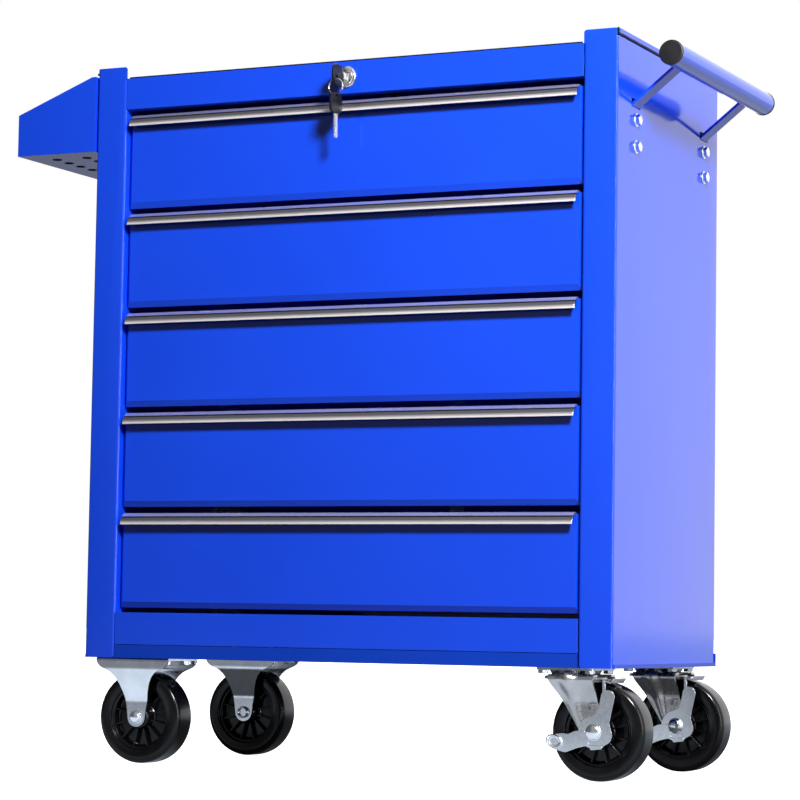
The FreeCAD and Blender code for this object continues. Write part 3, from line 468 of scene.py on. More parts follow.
def bent_sheet(path, left, right, thickness, columns, relief=None):
    """Sheet bent along a path of (y, z), with its own left and right edge at each height."""
    count = len(path)
    outside = []
    inside = []
    for i, point in enumerate(path):
        ahead = (path[min(i + 1, count - 1)] - path[max(i - 1, 0)]).normalized()
        inward = Vector((-ahead.y, ahead.x))
        x_left = left(point.y)
        x_right = right(point.y)
        for k in range(columns + 1):
            x = x_left + (x_right - x_left) * k / columns
            push = relief(x, point.y) if relief else 0.0
            face = point - inward * push
            back = face + inward * thickness
            outside.append(Vector((x, face.x, face.y)))
            inside.append(Vector((x, back.x, back.y)))
    corners = outside + inside
    total = len(outside)
    width = columns + 1
    faces = []
    for i in range(count - 1):
        for k in range(columns):
            a = i * width + k
            faces.append([a, a + 1, a + width + 1, a + width])
            faces.append([total + a, total + a + width, total + a + width + 1, total + a + 1])
        for k in (0, columns):
            a = i * width + k
            faces.append([a, a + width, total + a + width, total + a])
    for i in (0, count - 1):
        for k in range(columns):
            a = i * width + k
            faces.append([a, a + 1, total + a + 1, total + a])
    return corners, faces


def hex_head(centre, axis, across, height):
    """Hexagon with the rounded chamfer of a forged bolt head."""
    way = Vector(axis).normalized()
    side = way.orthogonal().normalized()
    other = way.cross(side)
    middle = Vector(centre)
    half = across / 2
    flat = half * 0.9
    steps = 48
    corners = []
    for level in range(3):
        for i in range(steps):
            turn = 2 * math.pi * i / steps
            reach = half / math.cos((turn % (math.pi / 3)) - math.pi / 6)
            rise = (0.0, height - (reach - flat) * 0.62, height)[level]
            radius = flat if level == 2 else reach
            corners.append(middle + way * rise + (side * math.cos(turn) + other * math.sin(turn)) * radius)
    faces = [list(range(steps)), list(range(2 * steps, 3 * steps))]
    for level in range(2):
        for i in range(steps):
            j = (i + 1) % steps
            a = level * steps
            faces.append([a + i, a + j, a + steps + j, a + steps + i])
    return corners, faces


def make_piece(name, shells, body, slot_name, stands_for, bevel=0.35, limit=32, material=None):
    """Mesh object from shells drawn in mm, with softened edges, tied to its CAD body and nodes."""
    corners, faces = join_shells(shells)
    mesh = bpy.data.meshes.new(name)
    mesh.from_pydata([tuple((corner + SHIFT) * MM) for corner in corners], [], faces)
    tidy = bmesh.new()
    tidy.from_mesh(mesh)
    bmesh.ops.recalc_face_normals(tidy, faces=tidy.faces)
    tidy.to_mesh(mesh)
    tidy.free()
    mesh.polygons.foreach_set("use_smooth", [True] * len(mesh.polygons))
    mesh.materials.append(material or materials[slot_name])
    piece = bpy.data.objects.new(name, mesh)
    scene.collection.objects.link(piece)
    soften(piece, bevel, limit)
    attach(piece, body)
    if stands_for:
        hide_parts(*stands_for)
    return piece


def soften(piece, width, limit=32):
    """Small round on every real edge, with the flat faces kept flat."""
    modifier = piece.modifiers.new("edges", "BEVEL")
    modifier.width = width * MM
    modifier.segments = 2
    modifier.limit_method = "ANGLE"
    modifier.angle_limit = math.radians(limit)
    modifier.harden_normals = True
    return modifier


def soften_node(name, width):
    """Round the edges of a CAD node: its faces come apart, so they are joined first."""
    node = nodes[name]
    custom = node.data.attributes.get("custom_normal")
    if custom:
        node.data.attributes.remove(custom)
    node.data.polygons.foreach_set("use_smooth", [True] * len(node.data.polygons))
    weld = node.modifiers.new("weld", "WELD")
    weld.merge_threshold = 0.00001
    flat = node.modifiers.new("flat", "DECIMATE")
    flat.decimate_type = "DISSOLVE"
    flat.angle_limit = math.radians(0.5)
    soften(node, width)


# ---------------------------------------------------------------- casters
def leg_edge(table, side, centre_x, tip):
    """Edge of a leg by height: from the table above, a round end about the axle below."""
    def edge(level):
        below = level - AXLE_Z
        if below < -0.17 * tip:
            return centre_x + side * math.sqrt(max(tip ** 2 - below ** 2, 0.5))
        return value_at(table, level)
    return edge


def leg_path(y, way, profile, bend, spacing):
    """Path of a bent leg in Y and Z from its top to its tip, on one side of the caster."""
    turned_corners = [Vector((y + way * reach, BASE_Z + drop)) for reach, drop in profile]
    return divided(rounded(turned_corners, bend, 5, closed=False), spacing)


def fixed_fork(row, y):
    """Fork of a fixed caster: plate, sloping shoulders and narrow legs in one pressed sheet."""
    profile = [(0, 0), (32.5, 0), (32.5, -13), (FORK_OUTER, -45), (FORK_OUTER, -74.3)]
    edge = [(1, 45), (-2, 45), (-4.5, 44.4), (-7, 43), (-9.5, 40.5), (-11.5, 36.5), (-13.5, 31.5),
            (-15.5, 27.8), (-20, 23.2), (-24, 20.6), (-28, 18.5), (-37, 15.3), (-46, 13.3), (-56, 11.6),
            (-66, 10.4)]
    left = leg_edge([(BASE_Z + z, FIXED_X - x) for z, x in edge], -1, FIXED_X, FIXED_TIP)
    right = leg_edge([(BASE_Z + z, FIXED_X + x) for z, x in edge], 1, FIXED_X, FIXED_TIP)
    front = leg_path(y, -1, profile, 2.6, 1.4)
    rear = leg_path(y, 1, profile, 2.6, 1.4)
    shell = bent_sheet(front[::-1] + rear[1:], left, right, -FORK_SHEET, 14)
    return make_piece("fixed_fork_" + row, [shell], "cabinet", "caster_zinc", ["fixed_caster_forks"], 0.8, 50)


def bulge_relief(x, z):
    """Height of the pressed bulge that runs down the outside of the swivel fork's front leg."""
    top = Vector((SWIVEL_X + 2.0, BASE_Z - 9.0))
    low = Vector((SWIVEL_X + TRAIL - 15.0, AXLE_Z + 8.0))
    run = low - top
    spot = Vector((x, z)) - top
    share = max(0.0, min(1.0, spot.dot(run) / run.length_squared))
    radius = BULGE_TOP_RADIUS + (BULGE_LOW_RADIUS - BULGE_TOP_RADIUS) * share
    gap = (spot - run * share).length
    if gap >= radius:
        return 0.0
    return BULGE_HEIGHT * (1 - 0.7 * share) * (0.5 + 0.5 * math.cos(math.pi * gap / radius))


def swivel_fork(row, y):
    """Turning fork: dished crown, two trailing legs, a pressed bulge and the brake's stop nut."""
    axle_x = SWIVEL_X + TRAIL
    profile = [(20, -9.2), (30.5, -9.2), (31, -13), (FORK_OUTER, -28), (FORK_OUTER, -76.6)]
    left_table = [(BASE_Z, SWIVEL_X - 19), (BASE_Z - 9, SWIVEL_X - 19), (BASE_Z - 62, SWIVEL_X + 13),
                  (BASE_Z - 66.3, SWIVEL_X + 17.2)]
    right_table = [(BASE_Z, SWIVEL_X + 33), (BASE_Z - 12, SWIVEL_X + 30.5), (BASE_Z - 33, SWIVEL_X + 33),
                   (BASE_Z - 58, SWIVEL_X + 42), (BASE_Z - 66.3, SWIVEL_X + 42.8)]
    left = leg_edge(left_table, -1, axle_x, SWIVEL_TIP)
    right = leg_edge(right_table, 1, axle_x, SWIVEL_TIP)
    shells = [bent_sheet(leg_path(y, -1, profile, 9.0, 1.2), left, right, -FORK_SHEET, 44, bulge_relief),
              bent_sheet(leg_path(y, 1, profile, 9.0, 2.4), left, right, FORK_SHEET, 12)]
    crown = [(0, -8), (27, -8), (30.5, -8.4), (32, -9.6), (32, -11.6), (31, -11.6), (29.5, -11), (0, -11)]
    shells.append(turned(crown, (SWIVEL_X, y, BASE_Z), (0, 0, 1)))
    nut_x = axle_x - 3.2
    nut_z = AXLE_Z + 24.8
    face = y - FORK_OUTER
    shells.append(turned([(0, 0), (3.4, 0), (3.4, 2.4), (0, 2.4)], (nut_x, face, nut_z), (0, -1, 0), 24))
    square = [(nut_x + u, nut_z + v) for u, v in ((-3.8, -3.8), (3.8, -3.8), (3.8, 3.8), (-3.8, 3.8))]
    shells.append(plate_with_eye(finer(square), (nut_x, nut_z), 2.4, face - 7.4, face - 2.4, along_z))
    return make_piece(row + "_fork", shells, row + "_swivel", "caster_zinc", [row + "_swivel_fork"], 0.5, 50,
                      materials["fork_zinc"])


def finer(points, steps=6):
    """Outline with extra points along its straight edges."""
    result = []
    for i, point in enumerate(points):
        first = Vector(point)
        last = Vector(points[(i + 1) % len(points)])
        result += [first.lerp(last, k / steps) for k in range(steps)]
    return result


def arc(radius, start, end, steps):
    """Points along an arc about the origin, angles in degrees."""
    turns = [math.radians(start + (end - start) * i / steps) for i in range(steps + 1)]
    return [(radius * math.cos(t), radius * math.sin(t)) for t in turns]


def brake_lever(row, y):
    """Stamped lever round the axle bolt, with its arm, pedal, hook tab and tongue over the tread."""
    axle_x = SWIVEL_X + TRAIL
    front = y - FORK_OUTER - 6.0
    back = front + FORK_SHEET

    def about_axle(points, radius):
        smooth = rounded(points, radius) if radius else points
        return [(axle_x + p[0], AXLE_Z + p[1]) for p in smooth]

    outline = arc(16.5, 100, 215, 16)
    outline += [(-8, -14.5), (-3.8, -15.6), (-1.9, -17.6), (10, -15.8), (11, -13.2), (17.7, -9.8),
                (20.2, -3.3), (19.2, 2), (16.6, 8.5), (20.5, 27), (22.4, 35.8), (19.6, 41.4), (15.0, 43.0),
                (8.8, 41.0), (6.9, 33.0), (6.0, 26.5), (3.5, 19.0)]
    tab = [(-3.8, -13), (10, -13), (10, -16.5), (-1.9, -17.8)]
    arm = [(-9, 1.5), (-20, 1.0), (-27, -2.5), (-33, -1.5), (-42, -3), (-47, -8), (-45, -17), (-30, -21),
           (-17, -16), (-4, -13)]
    strip = arc(WHEEL_RADIUS + 2.2, 80, 70, 8) + [(20.6, 52.9), (21.0, 54.4)]
    strip += arc(WHEEL_RADIUS + 3.8, 70, 80, 8)
    riser = [(9.4, 40), (12.6, 40), (11.5, 53), (9.0, 52.6)]
    shells = [plate(about_axle(outline, 3.0), front, back, along_z),
              plate(about_axle(tab, 0.8), front - 2.5, back - 0.1, along_z),
              plate(about_axle(arm, 2.5), front - 0.9, back - 0.1, along_z),
              pedal_foot(axle_x, front),
              plate(about_axle(strip, 0), front, y + 10, along_z),
              plate(about_axle(riser, 0.5), front + 0.2, back - 0.2, along_z)]
    return make_piece(row + "_lever", shells, row + "_brake", "caster_zinc", [row + "_brake_lever"], 0.7)


def pedal_foot(axle_x, front):
    """Cupped oval end of the pedal: a raised rim round a shallow hollow."""
    corners = []
    faces = []
    steps = 32
    rings = [(1.0, 1.6), (1.0, -2.2), (0.9, -3.6), (0.78, -3.6), (0.62, -1.2), (0.3, -0.4)]
    tilt = math.radians(18)
    for scale, rise in rings:
        for i in range(steps):
            turn = 2 * math.pi * i / steps
            u = 9.5 * scale * math.cos(turn)
            v = 6.8 * scale * math.sin(turn)
            x = axle_x - 41.5 + u * math.cos(tilt) + v * math.sin(tilt)
            z = AXLE_Z - 10.0 - u * math.sin(tilt) + v * math.cos(tilt)
            corners.append(Vector((x, front + rise, z)))
    count = len(rings)
    for ring in range(count - 1):
        for i in range(steps):
            j = (i + 1) % steps
            faces.append([ring * steps + i, ring * steps + j, (ring + 1) * steps + j, (ring + 1) * steps + i])
    faces.append(list(range(steps)))
    faces.append(list(range((count - 1) * steps, count * steps)))
    return corners, faces


def wheel(name, x, y, body):
    """Moulded wheel: smooth tread, stepped rings, twelve ribs on each side and a hub."""
    side = [(5.1, 17.2), (6.2, 17.2), (10.4, 17.2), (11.2, 16.6), (12.6, 14.8), (13.4, 12), (14.2, 6.5),
            (15.4, 5.4), (29.4, 5.0), (30.6, 5.8), (31.6, 10.5), (32.4, 12.4), (33.6, 12.9), (34.6, 13.0),
            (35.2, 13.8),
            (35.8, 14.9), (36.8, 15.3), (40.5, 15.8), (44.3, 16.0)]
    side += [(44.6 + 5.4 * math.sin(math.radians(a)), 10.6 + 5.4 * math.cos(math.radians(a)))
             for a in range(10, 91, 10)]
    profile = side + [(r, -w) for r, w in reversed(side)]
    shells = [turned(profile, (x, y, AXLE_Z), (0, 1, 0), 96, closed=True)]
    for k in range(12):
        turn = math.radians(30 * k + 15)
        ahead = Vector((math.cos(turn), 0, math.sin(turn)))
        across = Vector((-ahead.z, 0, ahead.x))
        outline = [(13.0, -11.4), (31.8, -10.6), (31.8, 10.6), (13.0, 11.4)]
        middle = Vector((x, y, AXLE_Z))
        shells.append(plate(outline, -0.9, 0.9,
                            lambda u, v, w: middle + ahead * u + Vector((0, v, 0)) + across * w))
    return make_piece(name + "_tyre", shells, body, "wheel_black", [name], 0.3, 24)


def domed_head(y, centre_x, radius, height, collar):
    """Outer end of an axle: a collar with a domed head."""
    centre = (centre_x, y, AXLE_Z)
    dome = [(radius, 0), (radius + 0.1, 0.9)]
    dome += [(radius * math.cos(math.radians(a)), 0.9 + (height - 0.9) * math.sin(math.radians(a)))
             for a in range(15, 90, 15)]
    ring = [(0, -2.0), (collar, -2.0), (collar, -0.3), (collar - 0.4, 0), (0, 0)]
    return [turned(ring, centre, (0, -1, 0)),
            turned([(0, -0.1)] + dome + [(0, height)], centre, (0, -1, 0))]


def rolled_end(y, centre_x):
    """Outer end of a hollow axle: a rolled rim round a hole."""
    profile = [(0, -1.5), (4.5, -1.5), (4.8, 1.4), (5.3, 2.6), (6.1, 2.6), (6.7, 1.6), (6.9, -2), (0, -2)]
    return [turned(profile, (centre_x, y, AXLE_Z), (0, -1, 0))]


def axle(row, y, swivel):
    """Axle bolt through the fork legs, its head in front and its nut behind."""
    x = SWIVEL_X + TRAIL if swivel else FIXED_X
    reach = FORK_OUTER + (6.4 if swivel else 2.0)
    if swivel:
        shells = domed_head(y - reach, x, 7.8, 4.2, 8.6)
    elif row == "front":
        shells = domed_head(y - reach, x, 6.0, 3.5, 7.2)
    else:
        shells = rolled_end(y - reach, x)
    shells.append(turned([(0, 0), (5, 0), (5, reach + FORK_OUTER + 6), (0, reach + FORK_OUTER + 6)],
                         (x, y - reach + 1, AXLE_Z), (0, 1, 0), 32))
    shells.append(turned([(0, 0), (8.6, 0), (8.6, 2), (0, 2)], (x, y + FORK_OUTER, AXLE_Z), (0, 1, 0)))
    shells.append(hex_head((x, y + FORK_OUTER + 2, AXLE_Z), (0, 1, 0), 15, 6))
    if swivel:
        shells.append(turned([(0, 0), (8, 0), (8, 3.2), (0, 3.2)], (x, y - FORK_OUTER, AXLE_Z), (0, -1, 0)))
        return make_piece(row + "_axle", shells, row + "_swivel", "bolt_zinc", [row + "_swivel_axle"], 0.3)
    return make_piece("fixed_axle_" + row, shells, "cabinet", "bolt_zinc", ["fixed_caster_axles"], 0.3)


def make_casters():
    """Two fixed casters on the left and two braked swivel casters on the right."""
    for row, y in ROWS.items():
        fixed_fork(row, y)
        swivel_fork(row, y)
        brake_lever(row, y)
        axle(row, y, swivel=False)
        axle(row, y, swivel=True)
        wheel("left_%s_wheel" % row, FIXED_X, y, "left_%s_wheel" % row)
        wheel("right_%s_wheel" % row, SWIVEL_X + TRAIL, y, "right_%s_wheel" % row)
        plate_bolts("fixed_plate_bolts_" + row, FIXED_X, y, FIXED_BOLTS, 4, 13)
        plate_bolts("swivel_plate_bolts_" + row, SWIVEL_X, y, SWIVEL_BOLTS, 3, 10)


def plate_bolts(name, centre_x, centre_y, halves, radius, across):
    """Four bolts up through a caster plate and the pan, with nuts inside the cabinet."""
    under = BASE_Z - FORK_SHEET
    shank = [(0, 0), (radius, 0), (radius, 15), (0, 15)]
    shells = []
    for i in (-1, 1):
        for j in (-1, 1):
            x = centre_x + i * halves[0]
            y = centre_y + j * halves[1]
            shells += [hex_head((x, y, under), (0, 0, -1), across, radius * 1.25),
                       turned(shank, (x, y, under), (0, 0, 1), 24),
                       hex_head((x, y, BASE_Z + 1.2), (0, 0, 1), across, radius * 1.6)]
    make_piece(name, shells, "cabinet", "bolt_zinc", ["caster_bolts"], 0.25,
               material=materials["shaded_plate_zinc"])


# ---------------------------------------------------------------- bolts, lock and keys
def wall_bolt(name, x, y, z, way, grip):
    """M6 hex bolt through a side wall, its washer outside and its nut inside."""
    washer = [(0, 0), (7.0, 0), (7.0, 1.0), (6.6, 1.4), (0, 1.4)]
    shells = [turned(washer, (x, y, z), (way, 0, 0)),
              hex_head((x + way * 1.3, y, z), (way, 0, 0), 10, 4.5),
              turned([(0, 0), (3, 0), (3, grip + 7), (0, grip + 7)], (x, y, z), (-way, 0, 0), 24),
              hex_head((x - way * grip, y, z), (-way, 0, 0), 10, 5)]
    if way < 0:
        shells.append(turned([(0, -2.3), (7, -2.3), (7, 0), (0, 0)], (x + 1.2, y, z), (-1, 0, 0)))
    make_piece(name, shells, "cabinet", "bolt_zinc", ["m6_hex_bolts"], 0.25)


def make_wall_bolts():
    """Bolts of the handle's straps on the right and of the tray on the left."""
    for i, y in enumerate(BOLT_ROWS):
        for j, z in enumerate(HANDLE_BOLTS):
            wall_bolt("handle_bolt_%d%d" % (i, j), WALL_X, y, BASE_Z + z, 1, 4.2)
        for j, z in enumerate(TRAY_BOLTS):
            wall_bolt("tray_bolt_%d%d" % (i, j), TRAY_X, y, BASE_Z + z, -1, 4.7)


def make_hem_shadow_strips():
    """Black strip under the top's hem on each side: painted shadow, a dark sheet along the gap line under the
    hem where there is only shade.

    The right one turns up round the hem's front end.
    """
    for side, name in ((-1, "left"), (1, "right")):
        inner = side * WALL_X
        low = HEM_BOTTOM - STRIP_HEIGHT
        outline = [(inner, HEM_BOTTOM), (inner + side * 1.2, HEM_BOTTOM),
                   (inner + side * 1.5, HEM_BOTTOM - 0.5), (inner + side * 1.5, low + 0.5),
                   (inner + side * 1.1, low), (inner, low)]
        shells = [plate(outline, 1.0, STRIP_BACK, along_z)]
        if side > 0:
            end = [(inner - 0.3, low), (inner + 1.1, low), (inner + 1.1, BODY_TOP + 0.4),
                   (inner - 0.3, BODY_TOP + 0.4)]
            shells.append(plate(end, -0.3, 1.0, along_z))
        make_piece("hem_shadow_strip_" + name, shells, "cabinet", "black_plastic", [], 0.2,
                   material=materials["shade_and_mat_black"])


def make_top_mat():
    """Thin black mat that lies in the recessed top, with its front edge just above the rail, where its dark
    line is painted shade along the rail's top edge.
    """
    outline = [(-MAT_HALF, 0.6), (MAT_HALF, 0.6), (MAT_HALF, 20), (MAT_WIDE_HALF, 23),
               (MAT_WIDE_HALF, MAT_BACK), (-MAT_WIDE_HALF, MAT_BACK), (-MAT_WIDE_HALF, 23), (-MAT_HALF, 20)]
    shell = plate(rounded([Vector(p) for p in outline], 1.5), TRAY_FLOOR, TRAY_FLOOR + MAT_THICKNESS,
                  lambda x, y, z: Vector((x, y, z)))
    make_piece("top_mat", [shell], "cabinet", "black_plastic", [], 0.3, material=materials["shade_and_mat_black"])


def make_hole_shade_rings():
    """Black ring in each tool hole of the side tray, its flange on the tray's floor: painted shade, a dark
    thing that makes each hole look black as the shade inside it does.
    """
    profile = [(4.3, -1.0), (5.3, -1.0), (5.3, 0.1), (7.5, 0.1), (7.5, 1.6), (7.0, 2.0), (4.3, 2.0)]
    shells = []
    for x in TOOL_COLUMNS:
        for k in range(-5, 6):
            centre = (x, TOOL_MIDDLE + k * TOOL_PITCH, TRAY_SHEET_TOP)
            shells.append(turned(profile, centre, (0, 0, 1), 32, closed=True))
    make_piece("tool_hole_shade_rings", shells, "cabinet", "black_plastic", [], 0.1,
               material=materials["shade_and_mat_black"])


def make_lock_face():
    """Lock housing: polished bezel in front of the rail, barrel and nut behind it."""
    profile = [(7.1, 22), (7.1, -2.0), (7.5, -2.6), (8.4, -3.1), (9.6, -3.1), (10.8, -2.6), (11.6, -1.6),
               (11.8, 0), (9.4, 0), (9.4, 22)]
    shells = [turned(profile, (0, 0, LOCK_Z), (0, 1, 0), 64, closed=True),
              turned([(9.0, 0), (11.5, 0), (11.5, 4), (9.0, 4)], (0, 1.2, LOCK_Z), (0, 1, 0), 6, closed=True)]
    make_piece("lock_face", shells, "cabinet", "chrome", ["lock_housing"], 0.2)


def squared_oval(middle, half, steps=48):
    """Outline of a key's head, squarer than an ellipse."""
    points = []
    for i in range(steps):
        turn = 2 * math.pi * i / steps
        u = math.copysign(abs(math.cos(turn)) ** 0.7, math.cos(turn))
        v = math.copysign(abs(math.sin(turn)) ** 0.7, math.sin(turn))
        points.append((middle[0] + half[0] * u, middle[1] + half[1] * v))
    return points


def key_blade(start, end, place, breadth=1.0):
    """Flat blade with a shoulder at the head, a milled groove's ridge and three notches."""
    low = [(start, -4.4), (start + 3.0, -4.4), (start + 3.4, -3.4)]
    for k in (3, 2, 1):
        notch = end - 4 * k
        low += [(notch - 1.2, -3.4), (notch, -2.6), (notch + 1.2, -3.4)]
    outline = low + [(end - 1.2, -3.4), (end, -1.4), (end, 1.6), (end - 2.2, 3.4), (start + 3.4, 3.4),
                     (start + 3.0, 4.4), (start, 4.4)]
    ridge = [(start + 3.4, 0.2), (end - 1.5, 0.2), (end - 1.5, 1.6), (start + 3.4, 1.6)]
    outline = [(u, v * breadth) for u, v in outline]
    ridge = [(u, v * breadth) for u, v in ridge]
    return [plate(outline, -1.0, 1.0, place), plate(ridge, -1.15, 1.15, place)]


def make_keys():
    """Key in the lock, split ring through its eye, and the spare key that hangs from the ring."""
    def in_lock(y, z, x):
        return Vector((x, y, LOCK_Z + z))

    head = squared_oval((-21.0, -1.6), (12.0, 11.6))
    shell = plate_with_eye(head, (EYE_Y, EYE_Z - LOCK_Z), 2.6, -1.5, 1.5, in_lock)
    make_piece("key_head", [shell], "key", "key_metal", ["key"], 0.9, material=materials["key_black"])
    make_piece("key_blade", key_blade(-10.0, 12.0, in_lock), "key", "key_metal", ["key"], 0.15)

    turns = [2 * math.pi * i / 48 for i in range(92)]
    wire = []
    for turn in turns:
        y = EYE_Y - RING_GAP / 2 + RING_GAP * turn / turns[-1]
        wire.append(Vector((RING_RADIUS * math.sin(turn), y, RING_Z + RING_RADIUS * math.cos(turn))))
    make_piece("split_ring", [swept(wire, RING_WIRE)], "key_ring", "chrome", ["key_ring"], 0.1)

    lean = math.radians(SPARE_TURN)
    across = Vector((math.sin(lean), math.cos(lean), 0))
    face = Vector((math.cos(lean), -math.sin(lean), 0))
    down = (Vector((0, 0, -1)) + across * SPARE_LEAN).normalized()
    side = face.cross(down)
    hang = Vector((0.0, EYE_Y, RING_Z - RING_RADIUS - SPARE_SLACK))

    def hanging(u, v, w):
        return hang + down * u + side * v + face * w

    spare_head = squared_oval((SPARE_EYE_IN, 0.0), (11.2, 10.6))
    shell = plate_with_eye(spare_head, (0.0, 0.0), 1.9, -1.5, 1.5, hanging)
    make_piece("spare_key_head", [shell], "key_ring", "black_plastic", [], 0.9,
               material=materials["key_black"])
    blade = key_blade(SPARE_EYE_IN + 10.0, SPARE_EYE_IN + 37.0, hanging, SPARE_BREADTH)
    make_piece("spare_key_blade", blade, "key_ring", "key_metal", [], 0.15)


# ---------------------------------------------------------------- stage, lights, camera
CAMERA_PLACE = Vector((1314.36, -2639.99, 157.41))
FLOOR_GLOW = 1.05
WORLD_FRONT = 0.012
WORLD_BACK = 2.0
MIRROR_LEFT = 0.14
MIRROR_FRONT = 0.34
MIRROR_BACK = 1.42
MIRROR_TURN = (-0.53, -0.33)
FLOOR_BOUNCE = 0.02
FLOOR_SHOWN = 0.95
KEY_WAY = (0.565, -0.66, 0.495)
STRIP_WAY = (0.86, -0.50, 0.06)
STUDIO_WAY = (0.64, 0.77)
CAMERA_TURNS = (25.26, 4.52, 0.89)
CAMERA_LENS = 126.35


def make_stage():
    """Pale floor: white to the camera and in reflections, but dim in its bounce and under the cabinet."""
    mesh = bpy.data.meshes.new("floor")
    half = 30.0
    corners = [(-half, -half, 0), (half, -half, 0), (half, half, 0), (-half, half, 0)]
    mesh.from_pydata(corners, [], [(0, 1, 2, 3)])
    floor = bpy.data.objects.new("floor", mesh)
    scene.collection.objects.link(floor)
    material, tree, shader = new_material("floor_pale", (0.9, 0.9, 0.9), 0.0, 0.8)
    place = tree.nodes.new("ShaderNodeTexCoord")
    axes = split_axes(tree, place.outputs["Object"])
    along = axes["Y"]
    across = axes["X"]
    # Painted reflection: in reflections the floor glows, bright in front of the cabinet, behind it towards
    # the right and off to its right side, and dims under the cabinet as painted shade.
    front = combined(tree, "MULTIPLY", ramp(tree, along, 0.26, 0.95, -0.95, -0.50),
                     ramp(tree, along, 1.0, 0.06, -0.17, -0.06))
    behind = combined(tree, "MULTIPLY", ramp(tree, along, 0.0, 0.85, 0.25, 0.9),
                      ramp(tree, across, 0.30, 1.0, -0.45, 0.15))
    beside = ramp(tree, across, 0.0, 0.7, 0.34, 0.50)
    mirrored_glow = combined(tree, "MAXIMUM", combined(tree, "MAXIMUM", front, behind), beside)
    path = tree.nodes.new("ShaderNodeLightPath")
    tone = tree.nodes.new("ShaderNodeMix")
    tone.inputs["A"].default_value = FLOOR_BOUNCE
    tone.inputs["B"].default_value = FLOOR_SHOWN
    tree.links.new(path.outputs["Is Camera Ray"], tone.inputs["Factor"])
    tree.links.new(tone.outputs["Result"], shader.inputs["Base Color"])
    shine = combined(tree, "MULTIPLY", path.outputs["Is Glossy Ray"], mirrored_glow)
    glow = tree.nodes.new("ShaderNodeMath")
    glow.operation = "MULTIPLY_ADD"
    glow.inputs[1].default_value = FLOOR_GLOW
    tree.links.new(path.outputs["Is Camera Ray"], glow.inputs[0])
    tree.links.new(shine, glow.inputs[2])
    tree.links.new(glow.outputs["Value"], shader.inputs["Emission Strength"])
    # Reflections of the floor are tinted blue: painted reflection.
    tint = blend_colours(tree, path.outputs["Is Glossy Ray"], (1, 1, 1), (0.76, 0.87, 1.0))
    tree.links.new(tint, shader.inputs["Emission Color"])
    mesh.materials.append(material)


def area_light(name, direction, distance, size, power, colour=(1, 1, 1)):
    """Soft light aimed at the middle of the cabinet from a direction."""
    centre = (cad_low + cad_high) / 2
    way = Vector(direction).normalized()
    data = bpy.data.lights.new(name, "AREA")
    data.size = size
    data.energy = power
    data.color = colour
    lamp = bpy.data.objects.new(name, data)
    lamp.location = centre + way * distance
    lamp.rotation_euler = (-way).to_track_quat("-Z", "Y").to_euler()
    scene.collection.objects.link(lamp)
    return lamp


def make_lights():
    """Key from the front right, close enough to fall off across the front, and a tall strip for highlights.

    The strip shows in reflections only.
    """
    area_light("key_light", KEY_WAY, 2.0, 0.32, 54)
    strip = area_light("strip_light", STRIP_WAY, 2.6, 0.30, 22)
    strip.data.shape = "RECTANGLE"
    strip.data.size_y = 1.8
    strip.visible_diffuse = False


def studio_glow(tree, way, soft_edge, front, back):
    """Brightness of the studio by direction: bright towards one horizontal way, dim on the other side."""
    place = tree.nodes.new("ShaderNodeTexCoord")
    reach = tree.nodes.new("ShaderNodeVectorMath")
    reach.operation = "DOT_PRODUCT"
    reach.inputs[1].default_value = (*way, 0)
    tree.links.new(place.outputs["Generated"], reach.inputs[0])
    wall = tree.nodes.new("ShaderNodeMapRange")
    wall.interpolation_type = "SMOOTHSTEP"
    wall.inputs["From Min"].default_value = -0.04
    wall.inputs["From Max"].default_value = soft_edge
    wall.inputs["To Min"].default_value = front
    wall.inputs["To Max"].default_value = back
    tree.links.new(reach.outputs["Value"], wall.inputs["Value"])
    return wall.outputs["Result"]


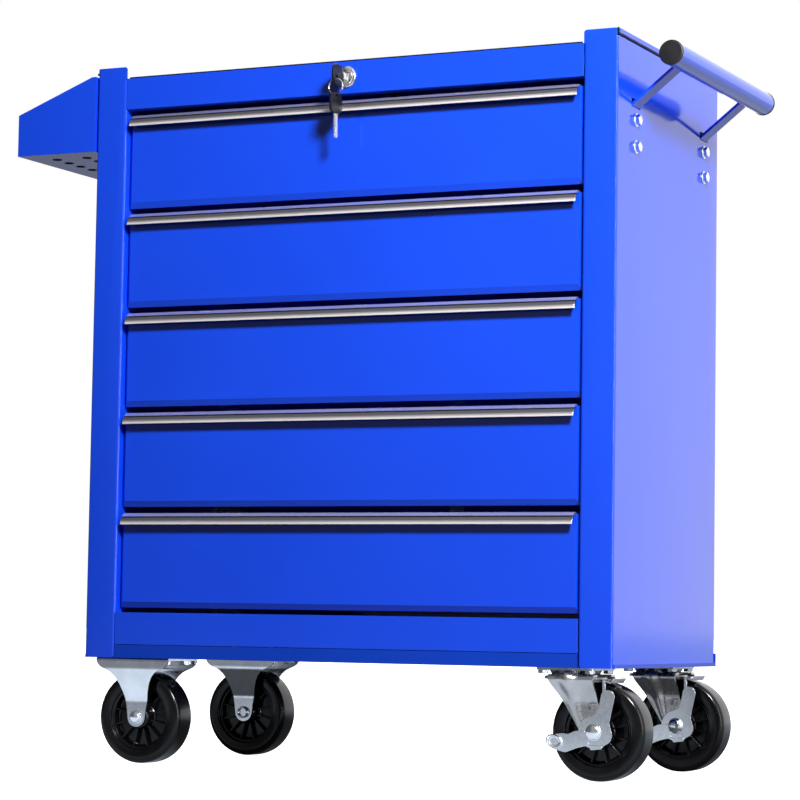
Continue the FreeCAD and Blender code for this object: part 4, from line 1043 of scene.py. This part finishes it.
def make_world():
    """White behind the object for the camera; a bright wall behind it in its light and reflections."""
    world = bpy.data.worlds.new("studio")
    scene.world = world
    world.use_nodes = True
    tree = world.node_tree
    soft = tree.nodes["Background"]
    soft.inputs["Color"].default_value = (1, 1, 1, 1)
    tree.links.new(studio_glow(tree, (0, 1), 0.45, WORLD_FRONT, WORLD_BACK), soft.inputs["Strength"])
    mirror = tree.nodes.new("ShaderNodeBackground")
    mirror.inputs["Color"].default_value = (0.98, 0.98, 1.0, 1)
    place = tree.nodes.new("ShaderNodeTexCoord")
    across = split_axes(tree, place.outputs["Generated"])["X"]
    front = ramp(tree, across, MIRROR_LEFT, MIRROR_FRONT, *MIRROR_TURN)
    wall = studio_glow(tree, STUDIO_WAY, 0.22, MIRROR_LEFT, MIRROR_BACK)
    tree.links.new(combined(tree, "MAXIMUM", front, wall), mirror.inputs["Strength"])
    white = tree.nodes.new("ShaderNodeBackground")
    white.inputs["Color"].default_value = (1, 1, 1, 1)
    path = tree.nodes.new("ShaderNodeLightPath")
    shine = tree.nodes.new("ShaderNodeMixShader")
    tree.links.new(path.outputs["Is Glossy Ray"], shine.inputs["Fac"])
    tree.links.new(soft.outputs["Background"], shine.inputs[1])
    tree.links.new(mirror.outputs["Background"], shine.inputs[2])
    mix = tree.nodes.new("ShaderNodeMixShader")
    tree.links.new(path.outputs["Is Camera Ray"], mix.inputs["Fac"])
    tree.links.new(shine.outputs["Shader"], mix.inputs[1])
    tree.links.new(white.outputs["Background"], mix.inputs[2])
    tree.links.new(mix.outputs["Shader"], tree.nodes["World Output"].inputs["Surface"])


def make_camera():
    """Long lens from the front right, low down, turned slightly upwards."""
    azimuth, pitch, roll = [math.radians(turn) for turn in CAMERA_TURNS]
    ahead = Vector((-math.sin(azimuth), math.cos(azimuth), 0))
    right = Vector((math.cos(azimuth), math.sin(azimuth), 0))
    up = Vector((0, 0, 1))
    view = ahead * math.cos(pitch) + up * math.sin(pitch)
    lift = up * math.cos(pitch) - ahead * math.sin(pitch)
    across = right * math.cos(roll) + lift * math.sin(roll)
    rise = lift * math.cos(roll) - right * math.sin(roll)
    data = bpy.data.cameras.new("camera")
    data.lens = CAMERA_LENS
    data.sensor_width = 36
    data.clip_end = 100
    camera = bpy.data.objects.new("camera", data)
    turn = Matrix((across, rise, -view)).transposed()
    camera.matrix_world = Matrix.Translation((CAMERA_PLACE + SHIFT) * MM) @ turn.to_4x4()
    scene.collection.objects.link(camera)
    scene.camera = camera


make_camera()
make_stage()
make_lights()
make_world()
scene.view_settings.view_transform = "Standard"

for node_name, node in nodes.items():
    slot_name = node.data.materials[0].name.split(".")[0]
    node.data.materials.clear()
    node.data.materials.append(materials[NODE_LOOKS.get(node_name, slot_name)])

make_casters()
make_wall_bolts()
make_hem_shadow_strips()
make_top_mat()
make_hole_shade_rings()
make_lock_face()
make_keys()

for node_name in nodes:
    if not nodes[node_name].hide_render:
        soften_node(node_name, EDGE_ROUNDS.get(node_name, PLAIN_ROUND))
